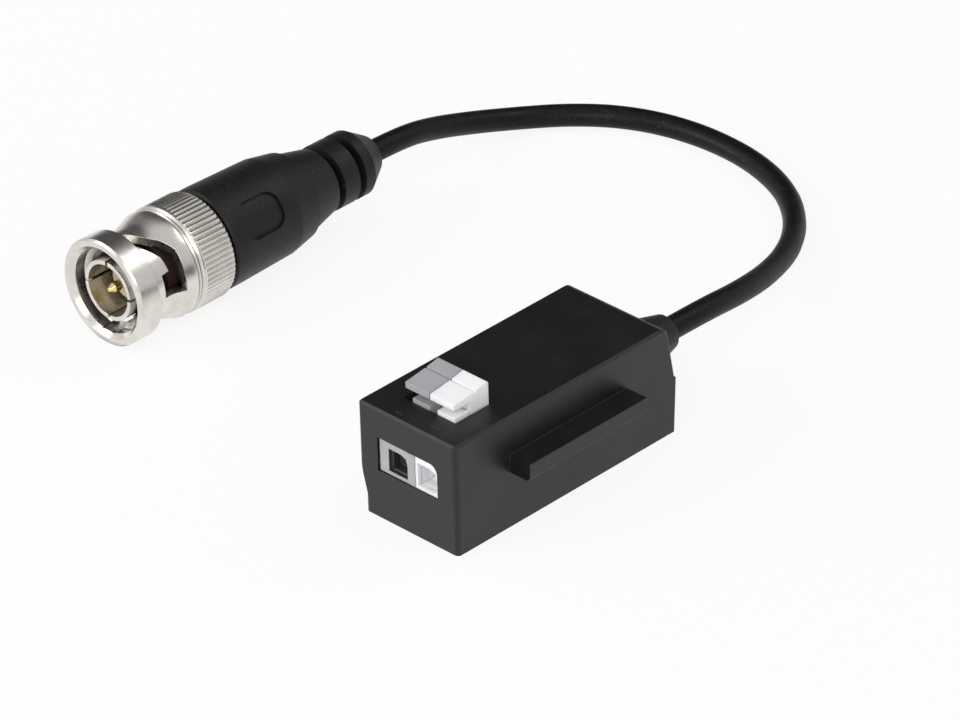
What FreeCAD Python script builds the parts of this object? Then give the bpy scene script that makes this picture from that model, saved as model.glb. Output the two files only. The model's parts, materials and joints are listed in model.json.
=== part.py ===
import FreeCAD, Part
import math
import os
import re
import Sketcher
from FreeCAD import Placement, Rotation, Vector

# Video balun with a pigtail: a small black two-shell housing with a two-pole spring terminal in
# front, a strain relief in its rear wall and a short coaxial lead that ends in a bayonet plug.
# Millimetres. The origin is the middle of the housing's foot, +Z is up and the terminal faces -Y.

doc = FreeCAD.newDocument("video_balun")
sheet = doc.addObject("Spreadsheet::Sheet", "Sizes")

SIZES = {
    # Housing: two moulded shells that meet on a level parting plane
    "housing_width": 16.0,
    "housing_height": 15.0,
    "housing_length": 36.0,
    "wall": 1.5,
    "rear_wall": 2.0,
    "parting_height": 7.5,
    "rear_rake": 1.3,
    "foot_rake": 0.4,
    "rear_round": 1.5,
    "corner_round": 0.6,
    "edge_round": 0.3,
    "edge_chamfer": 0.3,
    "rebate_depth": 0.8,
    "rebate_lip": 0.3,
    "rebate_slope": 3.2,
    "lip_height": 1.0,
    "lip_thickness": 0.7,
    "seam_clearance": 0.05,
    "ledge_height": 4.0,
    "ledge_width": 1.2,
    "hold_down_width": 1.4,
    "hold_down_spread": 16.0,
    "hold_down_overlap": 0.2,
    "rail_reach": 3.3,
    "rail_thickness": 2.4,
    "rail_length": 19.9,
    "rail_middle": 0.85,
    "rail_chamfer": 0.5,
    # Openings of the terminal; the heights of window and cells are measured down from the top
    "window_width": 9.8,
    "window_bottom": 8.5,
    "window_top": 3.9,
    "window_round": 1.2,
    "opening_width": 8.5,
    "opening_setback": 3.9,
    "opening_length": 6.2,
    # Two-pole spring terminal
    "pole_pitch": 4.8,
    "pole_gap": 0.1,
    "terminal_length": 8.8,
    "terminal_clearance": 0.1,
    "snout_recess": 0.25,
    "snout_clearance": 0.05,
    "nose_width": 2.8,
    "nose_height": 0.5,
    "nose_length": 2.4,
    "chamber_width": 3.2,
    "chamber_length": 6.0,
    "chamber_setback": 1.5,
    "chamber_roof": 0.9,
    "cell_inset": 1.5,
    "cell_width": 3.1,
    "cell_height": 3.1,
    "cell_bottom": 8.0,
    "cell_depth": 0.9,
    "cell_round": 1.3,
    "wire_hole": 2.7,
    "wire_hole_step": 0.1,
    # Push levers
    "lever_width": 3.9,
    "lever_gap": 0.15,
    "lever_offset": 0.1,
    "lever_length": 5.7,
    "lever_rear_gap": 0.45,
    "lever_front_height": 2.3,
    "lever_rear_height": 3.15,
    "lever_front_thickness": 0.8,
    "lever_pad_rise": 0.4,
    "lever_groove_width": 0.3,
    "lever_groove_depth": 0.2,
    "lever_grip_length": 3.3,
    "lever_travel": 0.8,
    "skirt_clearance": 0.2,
    "stem_width": 2.4,
    "stem_length": 2.4,
    "stem_setback": 1.0,
    "stem_clearance": 0.1,
    "barb_reach": 0.25,
    "barb_height": 0.5,
    # Clamp springs and contact bars
    "bar_width": 1.7,
    "bar_thickness": 0.4,
    "bar_drop": 0.6,
    "bar_bend": 0.32,
    "pin_width": 0.8,
    "pin_length": 0.8,
    "spring_thickness": 0.25,
    "spring_width": 2.7,
    "spring_rise": 1.65,
    "spring_bend": 0.4,
    "spring_end_room": 0.8,
    "spring_loop_flat": 0.07,
    "spring_tail": 1.0,
    "spring_rail": 0.45,
    "spring_foot": 0.5,
    "touch_clearance": 0.05,
    # Circuit board and what it carries
    "board_thickness": 1.0,
    "board_clearance": 0.15,
    "board_rear_gap": 1.0,
    "core_outer": 4.4,
    "core_inner": 2.2,
    "core_height": 3.4,
    "core_place": 0.65,
    "turn_wire": 0.4,
    "turn_count": 14,
    "winding_start": -60.0,
    "winding_arc": 300.0,
    "diode_width": 2.5,
    "diode_length": 3.6,
    "diode_height": 2.0,
    "diode_spread": 5.4,
    "diode_place": 3.4,
    "chip_width": 0.9,
    "chip_length": 1.6,
    "chip_height": 0.5,
    "chip_count": 4,
    "chip_pitch": 2.3,
    "chip_place": 3.6,
    # Strain relief in the rear wall
    "relief_flange": 3.9,
    "relief_flange_thickness": 1.2,
    "relief_neck": 3.0,
    "relief_seat": 0.8,
    "relief_root": 4.0,
    "relief_tip": 2.3,
    "relief_tip_chamfer": 0.5,
    "relief_length": 8.0,
    "relief_clearance": 0.05,
    "lead_straight": 0.9,
    "lead_foot_gap": 0.6,
    "inner_lead_wire": 0.9,
    "inner_lead_place": 1.1,
    "inner_lead_spread": 1.0,
    "inner_lead_reach": 2.4,
    "shield_tail_wire": 1.4,
    "shield_tail_place": -1.3,
    "shield_tail_spread": -1.2,
    "shield_tail_reach": 2.0,
    # Cable
    "cable_diameter": 3.0,
    "boot_lead": 6.0,
    # Plug: places along its axis are counted from the mouth of the outer contact
    "plug_x": -57.75,
    "plug_y": -12.04,
    "nut_radius": 7.15,
    "nut_front": -0.8,
    "nut_rim_chamfer": 0.25,
    "flange_rear": 2.3,
    "neck_corner": 0.2,
    "neck_radius": 6.1,
    "neck_rear": 5.4,
    "shoulder_rear": 8.2,
    "collar_step": 0.1,
    "ring_groove_setback": 0.5,
    "grip_front": 9.8,
    "flute_setback": 0.3,
    "nut_rear_chamfer": 0.3,
    "nut_rear": 15.15,
    "ring_groove": 0.25,
    "flute_count": 40,
    "flute_depth": 0.28,
    "flute_rise": 0.05,
    "mouth_radius": 5.6,
    "mouth_lead_in": 0.6,
    "mouth_depth": 2.6,
    "mouth_shoulder": 0.5,
    "nut_bore": 4.92,
    "cavity_front": 7.1,
    "cavity_radius": 5.6,
    "entry_width": 2.2,
    "slot_start": 96.0,
    "slot_end": -4.0,
    "contact_radius": 4.05,
    "contact_bore": 3.5,
    "contact_slots": 4,
    "contact_slot_width": 0.4,
    "contact_slot_length": 4.0,
    "body_flange_thickness": 1.2,
    "body_flange_play": 0.2,
    "barrel_radius": 4.7,
    "barrel_rear": 16.5,
    "stem_radius": 2.4,
    "stem_bore": 1.65,
    "stem_rear": 24.0,
    "running_clearance": 0.05,
    "gasket_thickness": 1.6,
    "washer_thickness": 0.3,
    "washer_wave": 0.6,
    "washer_count": 3,
    "washer_steps": 8,
    "snap_ring_thickness": 0.7,
    "snap_ring_depth": 0.4,
    "insulator_front": 4.2,
    "insulator_rear": 10.0,
    "insulator_nose": 2.3,
    "insulator_nose_length": 1.2,
    "pin_radius": 0.675,
    "pin_tip_radius": 0.24,
    "pin_front": 0.2,
    "pin_step_gap": 0.2,
    "pin_step_radius": 1.0,
    "pin_rear": 13.0,
    "sleeve_wall": 0.6,
    "sleeve_gap": 0.5,
    "boot_gap": 0.5,
    "boot_front_radius": 6.85,
    "boot_front_land": 2.0,
    "boot_waist_radius": 6.6,
    "boot_waist": 27.0,
    "boot_step": 30.7,
    "boot_step_radius": 5.9,
    "boot_step_depth": 0.35,
    "boot_step_width": 0.2,
    "boot_taper_end": 35.6,
    "boot_tail_radius": 4.45,
    "boot_core_radius": 3.3,
    "boot_groove_width": 1.1,
    "boot_groove_slope": 0.1,
    "boot_rib_width": 2.6,
    "boot_tail_land": 1.55,
    "boot_rear": 44.9,
    "boot_tip_radius": 2.6,
    # Grip recess in each side of the boot
    "recess_count": 2,
    "recess_front": 17.9,
    "recess_length": 6.6,
    "recess_angle": 44.0,
    "recess_lift": 33.0,
    "recess_floor_radius": 6.35,
    "recess_round": 1.8,
}

for row, (alias, number) in enumerate(SIZES.items(), start=1):
    sheet.set(f"A{row}", alias)
    sheet.set(f"B{row}", str(number))
    sheet.setAlias(f"B{row}", alias)
doc.recompute()

ALIAS = re.compile(r"\b(" + "|".join(sorted(SIZES, key=len, reverse=True)) + r")\b")


def bound(formula):
    """The formula with each size named in the sheet."""
    return ALIAS.sub(r"Sizes.\1", formula)


def value(formula):
    """What the formula comes to now, in millimetres."""
    result = sheet.evalExpression(bound(formula))
    return float(getattr(result, "Value", result))


# Places that several pieces share, as formulas of the sizes
FRONT = "(-housing_length / 2)"
FRONT_INSIDE = "(-housing_length / 2 + wall)"
REAR_OUTSIDE = "(housing_length / 2 + rear_rake)"
REAR_INSIDE = "(housing_length / 2 + rear_rake - rear_wall)"
SIDE_INSIDE = "(housing_width / 2 - wall)"
ROOF = "(housing_height - wall)"
BOARD_TOP = "(ledge_height + board_thickness)"
BOARD_REAR = f"({REAR_INSIDE} - relief_flange_thickness - board_rear_gap)"
OPENING_FRONT = "(-housing_length / 2 + opening_setback)"
TERMINAL_FRONT = f"({FRONT_INSIDE} + terminal_clearance)"
TERMINAL_TOP = f"({ROOF} - terminal_clearance)"
CHAMBER_FRONT = f"({TERMINAL_FRONT} + chamber_setback)"
CHAMBER_REAR = f"({CHAMBER_FRONT} + chamber_length)"
CHAMBER_TOP = f"({TERMINAL_TOP} - chamber_roof)"
POLE_MIDDLE = "(pole_pitch / 2)"
NOSE_FRONT = f"({OPENING_FRONT} + terminal_clearance)"
NOSE_REAR = f"({NOSE_FRONT} + nose_length)"
NOSE_TOP = "(housing_height + nose_height)"
WINDOW_LOW = "(housing_height - window_bottom)"
WINDOW_HIGH = "(housing_height - window_top)"
CELL_LOW = "(housing_height - cell_bottom)"
LEVER_REAR = f"({OPENING_FRONT} + opening_length - lever_rear_gap)"
LEVER_FRONT = f"({LEVER_REAR} - lever_length)"
STEM_REAR = f"({LEVER_REAR} - stem_setback)"
STEM_FRONT = f"({STEM_REAR} - stem_length)"
BARB_TOP = f"({CHAMBER_TOP} - stem_clearance)"
STEM_BOTTOM = f"({BARB_TOP} - barb_height)"
BAR_UNDERSIDE = f"({CELL_LOW} + cell_height - bar_drop)"
BAR_TOP = f"({BAR_UNDERSIDE} + bar_thickness)"
BAR_REAR = f"({CHAMBER_REAR} - terminal_clearance)"
CHIP_MIDDLE = f"({BOARD_REAR} - chip_place)"
DIODE_MIDDLE = f"({CHIP_MIDDLE} - diode_place)"
BODY_FLANGE_FRONT = "(cavity_front + body_flange_play)"
BODY_FLANGE_REAR = f"({BODY_FLANGE_FRONT} + body_flange_thickness)"
SNAP_RING_FRONT = f"({BODY_FLANGE_REAR} + washer_thickness + 2 * washer_wave + 2 * touch_clearance)"
BOOT_FRONT = "(nut_rear + boot_gap)"
CABLE_END = f"({REAR_INSIDE} - relief_flange_thickness - relief_clearance)"

# How far a cutting sketch starts outside its material, and a boss starts inside the solid it joins
BITE = "0.5"
# The sides of a drawn wire's section, and of the cable's
WIRE_SIDES = 6
CABLE_SIDES = 8
# The share of the shorter run beside a corner of the cable that its bend takes up
BEND_SHARE = 0.45


def new_body(label):
    body = doc.addObject("PartDesign::Body", label)
    body.Label = label
    return body


def plane_of(body, role):
    return next(item for item in body.Origin.OriginFeatures if item.Role == role)


def new_sketch(body, name, role, offset):
    """A sketch on one of the body's origin planes, moved along that plane's normal."""
    sketch = body.newObject("Sketcher::SketchObject", name)
    sketch.AttachmentSupport = (plane_of(body, role), [""])
    sketch.MapMode = "FlatFace"
    if offset:
        sketch.setExpression("AttachmentOffset.Base.z", bound(offset))
    return sketch


def tie(sketch, kind, first, place, formula):
    """Tie one coordinate of a sketch point to a formula of the sizes."""
    number = sketch.addConstraint(
        Sketcher.Constraint(kind, -1, 1, first, place, value(formula)))
    sketch.setExpression(f"Constraints[{number}]", bound(formula))


def draw_outline(sketch, corners):
    """A closed outline of straight edges through corners given as pairs of formulas."""
    start = sketch.GeometryCount
    spots = [Vector(value(across), value(along), 0) for across, along in corners]
    for here, there in zip(spots, spots[1:] + spots[:1]):
        sketch.addGeometry(Part.LineSegment(here, there), False)
    for index, (across, along) in enumerate(corners):
        following = (index + 1) % len(corners)
        sketch.addConstraint(
            Sketcher.Constraint("Coincident", start + index, 2, start + following, 1))
        tie(sketch, "DistanceX", start + index, 1, across)
        tie(sketch, "DistanceY", start + index, 1, along)


def box_corners(left, right, low, high):
    return [(left, low), (right, low), (right, high), (left, high)]


def outline(body, name, role, corners, offset=""):
    sketch = new_sketch(body, name, role, offset)
    draw_outline(sketch, corners)
    return sketch


def disc(body, name, role, across, along, radius, offset=""):
    """A circle given by its middle and radius, all three as formulas."""
    sketch = new_sketch(body, name, role, offset)
    middle = Vector(value(across), value(along), 0)
    sketch.addGeometry(Part.Circle(middle, Vector(0, 0, 1), value(radius)), False)
    tie(sketch, "DistanceX", 0, 3, across)
    tie(sketch, "DistanceY", 0, 3, along)
    number = sketch.addConstraint(Sketcher.Constraint("Radius", 0, value(radius)))
    sketch.setExpression(f"Constraints[{number}]", bound(radius))
    return sketch


def pad(body, sketch, length, reverse=False):
    feature = body.newObject("PartDesign::Pad", f"{sketch.Name}_pad")
    feature.Profile = sketch
    feature.Reversed = reverse
    feature.setExpression("Length", bound(length))
    doc.recompute()
    return feature


def pocket(body, sketch, length, reverse=False):
    """Cut the sketch into the body against its normal, or along it when reversed."""
    before = body.Shape.Volume
    feature = body.newObject("PartDesign::Pocket", f"{sketch.Name}_pocket")
    feature.Profile = sketch
    feature.Reversed = reverse
    feature.setExpression("Length", bound(length))
    doc.recompute()
    if feature.Shape.Volume > before - 1e-6:
        raise RuntimeError(f"{feature.Name} cuts nothing")
    return feature


def revolve(body, name, corners):
    """Turn a profile of (radius, place) corners round the body's Y axis."""
    sketch = outline(body, name, "XY_Plane", corners)
    feature = body.newObject("PartDesign::Revolution", f"{name}_turned")
    feature.Profile = sketch
    feature.ReferenceAxis = (sketch, ["V_Axis"])
    feature.Angle = 360.0
    doc.recompute()
    return feature


def dress(body, kind, amount, wanted):
    """A fillet or chamfer on the edges whose middle and direction the test accepts."""
    base = body.Tip
    names = []
    for index, edge in enumerate(base.Shape.Edges, start=1):
        middle = edge.valueAt((edge.FirstParameter + edge.LastParameter) / 2)
        if wanted(edge, middle):
            names.append(f"Edge{index}")
    if not names:
        raise RuntimeError(f"{body.Label}: no edge found to dress")
    feature = body.newObject(f"PartDesign::{kind}", f"{body.Name}_{kind}")
    feature.Base = (base, names)
    feature.setExpression("Radius" if kind == "Fillet" else "Size", bound(amount))
    doc.recompute()
    return feature


def near(left, right):
    return abs(left - right) < 1e-4


def runs_along(edge, axis):
    """True for a straight edge that is parallel to the axis."""
    if edge.Curve.TypeId != "Part::GeomLine":
        return False
    return abs(abs(edge.Curve.Direction.dot(axis)) - 1) < 1e-6


def feature_from(label, shape):
    """A sub-part whose shape is worked out below from the sizes in the sheet."""
    part = doc.addObject("Part::Feature", label)
    part.Label = label
    part.Shape = shape
    return part


ALONG_X, ALONG_Y, ALONG_Z = Vector(1, 0, 0), Vector(0, 1, 0), Vector(0, 0, 1)


# Upper shell, with the side rail and the openings for the terminal
def cut_rear_wall(body):
    """Half of the stepped hole for the strain relief: its neck, and the seat round its root."""
    before = body.Shape.Volume
    neck = "relief_neck + relief_clearance"
    seat = "relief_root + 2 * relief_clearance"
    step = f"{REAR_OUTSIDE} - relief_seat"
    inside, outside = f"{REAR_INSIDE} - {BITE}", f"{REAR_OUTSIDE} + {BITE}"
    profile = outline(body, f"{body.Name}_relief_hole", "XY_Plane", [
        ("0", inside), (neck, inside), (neck, step), (seat, step), (seat, outside), ("0", outside),
    ], "parting_height")
    groove = body.newObject("PartDesign::Groove", f"{body.Name}_relief_groove")
    groove.Profile = profile
    groove.ReferenceAxis = (profile, ["V_Axis"])
    groove.Angle = 360.0
    doc.recompute()
    if groove.Shape.Volume > before - 1e-6:
        raise RuntimeError(f"{groove.Name} cuts nothing")


def make_upper_shell():
    body = new_body("upper_shell")
    side = outline(body, "shell_side", "YZ_Plane", [
        (FRONT, "parting_height"),
        (REAR_OUTSIDE, "parting_height"),
        ("housing_length / 2", "housing_height"),
        (FRONT, "housing_height"),
    ], "-housing_width / 2")
    pad(body, side, "housing_width")
    half, height, length = value("housing_width / 2"), value("housing_height"), value("housing_length")
    dress(body, "Fillet", "rear_round", lambda edge, middle: runs_along(edge, ALONG_X)
          and near(middle.y, length / 2) and near(middle.z, height))
    dress(body, "Fillet", "corner_round", lambda edge, middle: runs_along(edge, ALONG_Z)
          and near(middle.y, -length / 2))
    dress(body, "Chamfer", "edge_chamfer", lambda edge, middle: near(middle.z, height)
          and runs_along(edge, ALONG_Y) and near(abs(middle.x), half))

    rail = outline(body, "rail_plan", "XY_Plane", box_corners(
        "housing_width / 2 - wall / 3", "housing_width / 2 + rail_reach",
        "rail_middle - rail_length / 2", "rail_middle + rail_length / 2"), "parting_height")
    pad(body, rail, "rail_thickness")
    reach, parting = value("housing_width / 2 + rail_reach"), value("parting_height")
    dress(body, "Chamfer", "rail_chamfer", lambda edge, middle: near(middle.x, reach)
          and near(middle.z, parting) and runs_along(edge, ALONG_Y))

    cavity = outline(body, "shell_cavity", "XY_Plane", box_corners(
        f"-{SIDE_INSIDE}", SIDE_INSIDE, FRONT_INSIDE, REAR_INSIDE), "parting_height")
    pocket(body, cavity, f"{ROOF} - parting_height", reverse=True)
    rebate = outline(body, "seam_rebate", "XY_Plane", box_corners(
        f"-{SIDE_INSIDE} - lip_thickness - seam_clearance",
        f"{SIDE_INSIDE} + lip_thickness + seam_clearance",
        f"{FRONT_INSIDE} - lip_thickness - seam_clearance",
        f"{REAR_INSIDE} + lip_thickness + seam_clearance"), "parting_height")
    pocket(body, rebate, "lip_height + seam_clearance", reverse=True)
    for index, (side_sign, rear_sign) in enumerate(((-1, -1), (-1, 1), (1, -1), (1, 1))):
        inner = f"{side_sign} * ({SIDE_INSIDE} - ledge_width + hold_down_overlap)"
        outer = f"{side_sign} * ({SIDE_INSIDE} - seam_clearance)"
        place = f"(rail_middle + {rear_sign} * hold_down_spread / 2)"
        left, right = (inner, outer) if side_sign > 0 else (outer, inner)
        rib = outline(body, f"hold_down_{index}", "XY_Plane", box_corners(
            left, right, f"{place} - hold_down_width / 2", f"{place} + hold_down_width / 2"),
            f"{BOARD_TOP} + seam_clearance")
        pad(body, rib, f"{ROOF} - {BOARD_TOP} + wall / 2")

    window = outline(body, "front_window", "XZ_Plane", box_corners(
        "-window_width / 2", "window_width / 2",
        f"max(parting_height - {BITE}; {WINDOW_LOW})", WINDOW_HIGH), f"housing_length / 2 + {BITE}")
    pocket(body, window, f"wall + 2 * {BITE}")
    half_window, top = value("window_width / 2"), value(WINDOW_HIGH)
    dress(body, "Fillet", "window_round", lambda edge, middle: runs_along(edge, ALONG_Y)
          and near(middle.x, half_window) and near(middle.z, top))
    opening = outline(body, "lever_opening", "XY_Plane", box_corners(
        "-opening_width / 2", "opening_width / 2",
        OPENING_FRONT, f"{OPENING_FRONT} + opening_length"), f"housing_height + {BITE}")
    pocket(body, opening, f"wall + 2 * {BITE}")
    cut_rear_wall(body)
    return body


# Lower shell, with the long rebate on its left side and the lip that locates the seam
def make_lower_shell():
    body = new_body("lower_shell")
    section = outline(body, "base_section", "XZ_Plane", [
        ("-housing_width / 2 + rebate_depth", "0"),
        ("housing_width / 2", "0"),
        ("housing_width / 2", "parting_height"),
        ("-housing_width / 2", "parting_height"),
        ("-housing_width / 2", "parting_height - rebate_lip"),
        ("-housing_width / 2 + rebate_depth", "parting_height - rebate_lip - rebate_slope"),
    ], f"-{REAR_OUTSIDE}")
    pad(body, section, f"{REAR_OUTSIDE} + housing_length / 2")
    rake = outline(body, "rear_rake_cut", "YZ_Plane", [
        (f"{REAR_OUTSIDE} - foot_rake", "0"),
        (f"{REAR_OUTSIDE} + {BITE}", "0"),
        (f"{REAR_OUTSIDE} + {BITE}", "parting_height"),
        (REAR_OUTSIDE, "parting_height"),
    ], f"housing_width / 2 + {BITE}")
    pocket(body, rake, f"housing_width + 2 * {BITE}")
    length = value("housing_length")
    dress(body, "Fillet", "corner_round", lambda edge, middle: runs_along(edge, ALONG_Z)
          and near(middle.y, -length / 2))

    lip = outline(body, "seam_lip", "XY_Plane", box_corners(
        f"-{SIDE_INSIDE} - lip_thickness", f"{SIDE_INSIDE} + lip_thickness",
        f"{FRONT_INSIDE} - lip_thickness", f"{REAR_INSIDE} + lip_thickness"),
        "parting_height - wall / 2")
    pad(body, lip, "lip_height + wall / 2")
    cavity = outline(body, "base_cavity", "XY_Plane", box_corners(
        f"-{SIDE_INSIDE}", SIDE_INSIDE, FRONT_INSIDE, REAR_INSIDE),
        "parting_height + lip_height")
    pocket(body, cavity, "parting_height + lip_height - ledge_height")
    well = outline(body, "base_well", "XY_Plane", box_corners(
        f"-{SIDE_INSIDE} + ledge_width", f"{SIDE_INSIDE} - ledge_width",
        FRONT_INSIDE, REAR_INSIDE), f"ledge_height + {BITE}")
    pocket(body, well, f"ledge_height + {BITE} - wall")
    window = outline(body, "base_window", "XZ_Plane", box_corners(
        "-window_width / 2", "window_width / 2", WINDOW_LOW, f"parting_height + lip_height + {BITE}"),
        f"housing_length / 2 + {BITE}")
    pocket(body, window, f"wall + 2 * {BITE}")
    cut_rear_wall(body)
    return body


# One pole of the terminal: moulded body, push lever, clamp spring and contact bar
def pole_placement(piece, pole):
    """Pole 0 lies left of the middle and pole 1 right of it."""
    piece.setExpression("Placement.Base.x", bound(f"({pole} - 1) * pole_pitch"))


def lever_left(pole):
    """Where a lever's left side lies, from its own pole's left side."""
    return f"((1 - {pole}) * (pole_pitch - lever_width - lever_gap) + lever_offset + lever_gap / 2)"


def make_terminal_body(colour, pole):
    body = new_body(f"terminal_body_{colour}")
    name = f"terminal_{colour}"
    left, right = "pole_gap / 2", "pole_pitch - pole_gap / 2"
    block = outline(body, f"{name}_block", "XY_Plane", box_corners(
        left, right, TERMINAL_FRONT, f"{TERMINAL_FRONT} + terminal_length"), BOARD_TOP)
    pad(body, block, f"{TERMINAL_TOP} - {BOARD_TOP}")
    snout = outline(body, f"{name}_snout", "XZ_Plane", box_corners(
        left, right, f"{WINDOW_LOW} + snout_clearance", f"{WINDOW_HIGH} - snout_clearance"),
        f"-{TERMINAL_FRONT} - {BITE}")
    pad(body, snout, f"{TERMINAL_FRONT} + {BITE} - {FRONT} - snout_recess")
    if pole == 1:
        edge_x, edge_z = value("pole_pitch - pole_gap / 2"), value(f"{WINDOW_HIGH} - snout_clearance")
        dress(body, "Fillet", "window_round", lambda edge, middle: runs_along(edge, ALONG_Y)
              and near(middle.x, edge_x) and near(middle.z, edge_z))
    nose_right = f"({lever_left(pole)} + lever_width)"
    nose = outline(body, f"{name}_nose", "XY_Plane", box_corners(
        f"{nose_right} - nose_width", nose_right, NOSE_FRONT, NOSE_REAR), f"{TERMINAL_TOP} - {BITE}")
    pad(body, nose, f"{NOSE_TOP} - {TERMINAL_TOP} + {BITE}")
    chamber = outline(body, f"{name}_chamber", "XY_Plane", box_corners(
        f"{POLE_MIDDLE} - chamber_width / 2", f"{POLE_MIDDLE} + chamber_width / 2",
        CHAMBER_FRONT, CHAMBER_REAR), f"{BOARD_TOP} - {BITE}")
    pocket(body, chamber, f"{CHAMBER_TOP} - {BOARD_TOP} + {BITE}", reverse=True)
    guide = outline(body, f"{name}_guide", "XY_Plane", box_corners(
        f"{POLE_MIDDLE} - stem_width / 2 - stem_clearance",
        f"{POLE_MIDDLE} + stem_width / 2 + stem_clearance",
        f"{STEM_FRONT} - stem_clearance", f"{STEM_REAR} + stem_clearance"),
        f"{CHAMBER_TOP} - {BITE}")
    pocket(body, guide, f"{NOSE_TOP} - {CHAMBER_TOP} + 2 * {BITE}", reverse=True)
    cell = outline(body, f"{name}_cell", "XZ_Plane", box_corners(
        "cell_inset", "cell_inset + cell_width", CELL_LOW, f"{CELL_LOW} + cell_height"),
        f"housing_length / 2 - snout_recess + {BITE}")
    pocket(body, cell, f"cell_depth + {BITE}")
    corner_x, corner_z = value("cell_inset + cell_width"), value(f"{CELL_LOW} + cell_height")
    dress(body, "Fillet", "cell_round", lambda edge, middle: runs_along(edge, ALONG_Y)
          and near(middle.x, corner_x) and near(middle.z, corner_z))
    entry = outline(body, f"{name}_entry", "XZ_Plane", box_corners(
        "cell_inset + (cell_width - wire_hole) / 2", "cell_inset + (cell_width + wire_hole) / 2",
        f"{CELL_LOW} + wire_hole_step", f"{CELL_LOW} + wire_hole_step + wire_hole"),
        f"housing_length / 2 - snout_recess + {BITE}")
    pocket(body, entry, f"{CHAMBER_FRONT} - {FRONT} - snout_recess + 2 * {BITE}")
    pole_placement(body, pole)
    return body


def make_push_lever(colour, pole):
    body = new_body(f"push_lever_{colour}")
    name = f"lever_{colour}"
    skirt = f"({TERMINAL_TOP} + lever_travel + stem_clearance)"
    front_top = "(housing_height + lever_front_height)"
    rear_top = "(housing_height + lever_rear_height)"
    groove = f"({LEVER_FRONT} + lever_grip_length)"
    groove_end = f"({groove} + lever_groove_width)"
    side = outline(body, f"{name}_side", "YZ_Plane", [
        (f"{NOSE_REAR} + skirt_clearance", skirt),
        (LEVER_REAR, skirt),
        (LEVER_REAR, rear_top),
        (groove_end, f"{rear_top} - lever_pad_rise"),
        (groove_end, f"{front_top} + lever_pad_rise - lever_groove_depth"),
        (groove, f"{front_top} + lever_pad_rise - lever_groove_depth"),
        (groove, f"{front_top} + lever_pad_rise"),
        (LEVER_FRONT, front_top),
        (LEVER_FRONT, f"{front_top} - lever_front_thickness"),
        (f"{NOSE_REAR} + skirt_clearance", f"{front_top} - lever_front_thickness"),
    ], lever_left(pole))
    pad(body, side, "lever_width")
    top, rear = value(rear_top), value(LEVER_REAR)
    dress(body, "Fillet", "edge_round", lambda edge, middle: runs_along(edge, ALONG_X)
          and near(middle.y, rear) and near(middle.z, top))
    stem = outline(body, f"{name}_stem", "XY_Plane", box_corners(
        f"{POLE_MIDDLE} - stem_width / 2", f"{POLE_MIDDLE} + stem_width / 2",
        STEM_FRONT, STEM_REAR), STEM_BOTTOM)
    pad(body, stem, f"{skirt} - {STEM_BOTTOM} + {BITE}")
    barb = outline(body, f"{name}_barb", "XY_Plane", box_corners(
        f"{POLE_MIDDLE} - stem_width / 2 - barb_reach", f"{POLE_MIDDLE} + stem_width / 2 + barb_reach",
        STEM_FRONT, STEM_REAR), STEM_BOTTOM)
    pad(body, barb, "barb_height")
    pole_placement(body, pole)
    return body


def make_contact_bar(colour, pole):
    """A tinned strip over the wire that turns down to a solder pin behind the clamp."""
    body = new_body(f"contact_bar_{colour}")
    name = f"bar_{colour}"
    side = outline(body, f"{name}_side", "YZ_Plane", [
        (f"{CHAMBER_FRONT} + terminal_clearance", BAR_UNDERSIDE),
        (f"{BAR_REAR} - bar_thickness", BAR_UNDERSIDE),
        (f"{BAR_REAR} - bar_thickness", BOARD_TOP),
        (BAR_REAR, BOARD_TOP),
        (BAR_REAR, BAR_TOP),
        (f"{CHAMBER_FRONT} + terminal_clearance", BAR_TOP),
    ], f"{POLE_MIDDLE} - bar_width / 2")
    pad(body, side, "bar_width")
    pin = outline(body, f"{name}_pin", "XY_Plane", box_corners(
        f"{POLE_MIDDLE} - pin_width / 2", f"{POLE_MIDDLE} + pin_width / 2",
        f"{BAR_REAR} - bar_thickness", BAR_REAR), "ledge_height - pin_length")
    pad(body, pin, f"{BOARD_TOP} - ledge_height + pin_length + {BITE}")
    top, rear = value(BAR_TOP), value(BAR_REAR)
    dress(body, "Fillet", "bar_bend", lambda edge, middle: runs_along(edge, ALONG_X)
          and near(middle.y, rear) and near(middle.z, top))
    pole_placement(body, pole)
    return body


def rounded_wire(points, radii):
    """Straight runs through the points, joined by tangent arcs of the given radii."""
    edges = []
    here = points[0]
    for before, corner, after, radius in zip(points, points[1:], points[2:], radii):
        back = (before - corner).normalize()
        ahead = (after - corner).normalize()
        half_turn = (math.pi - back.getAngle(ahead)) / 2
        reach = radius * math.tan(half_turn)
        start = corner + back * reach
        finish = corner + ahead * reach
        inward = (back + ahead).normalize()
        middle = corner + inward * (radius / math.cos(half_turn) - radius)
        edges.append(Part.LineSegment(here, start).toShape())
        edges.append(Part.Arc(start, middle, finish).toShape())
        here = finish
    edges.append(Part.LineSegment(here, points[-1]).toShape())
    return Part.Wire(edges)


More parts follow.
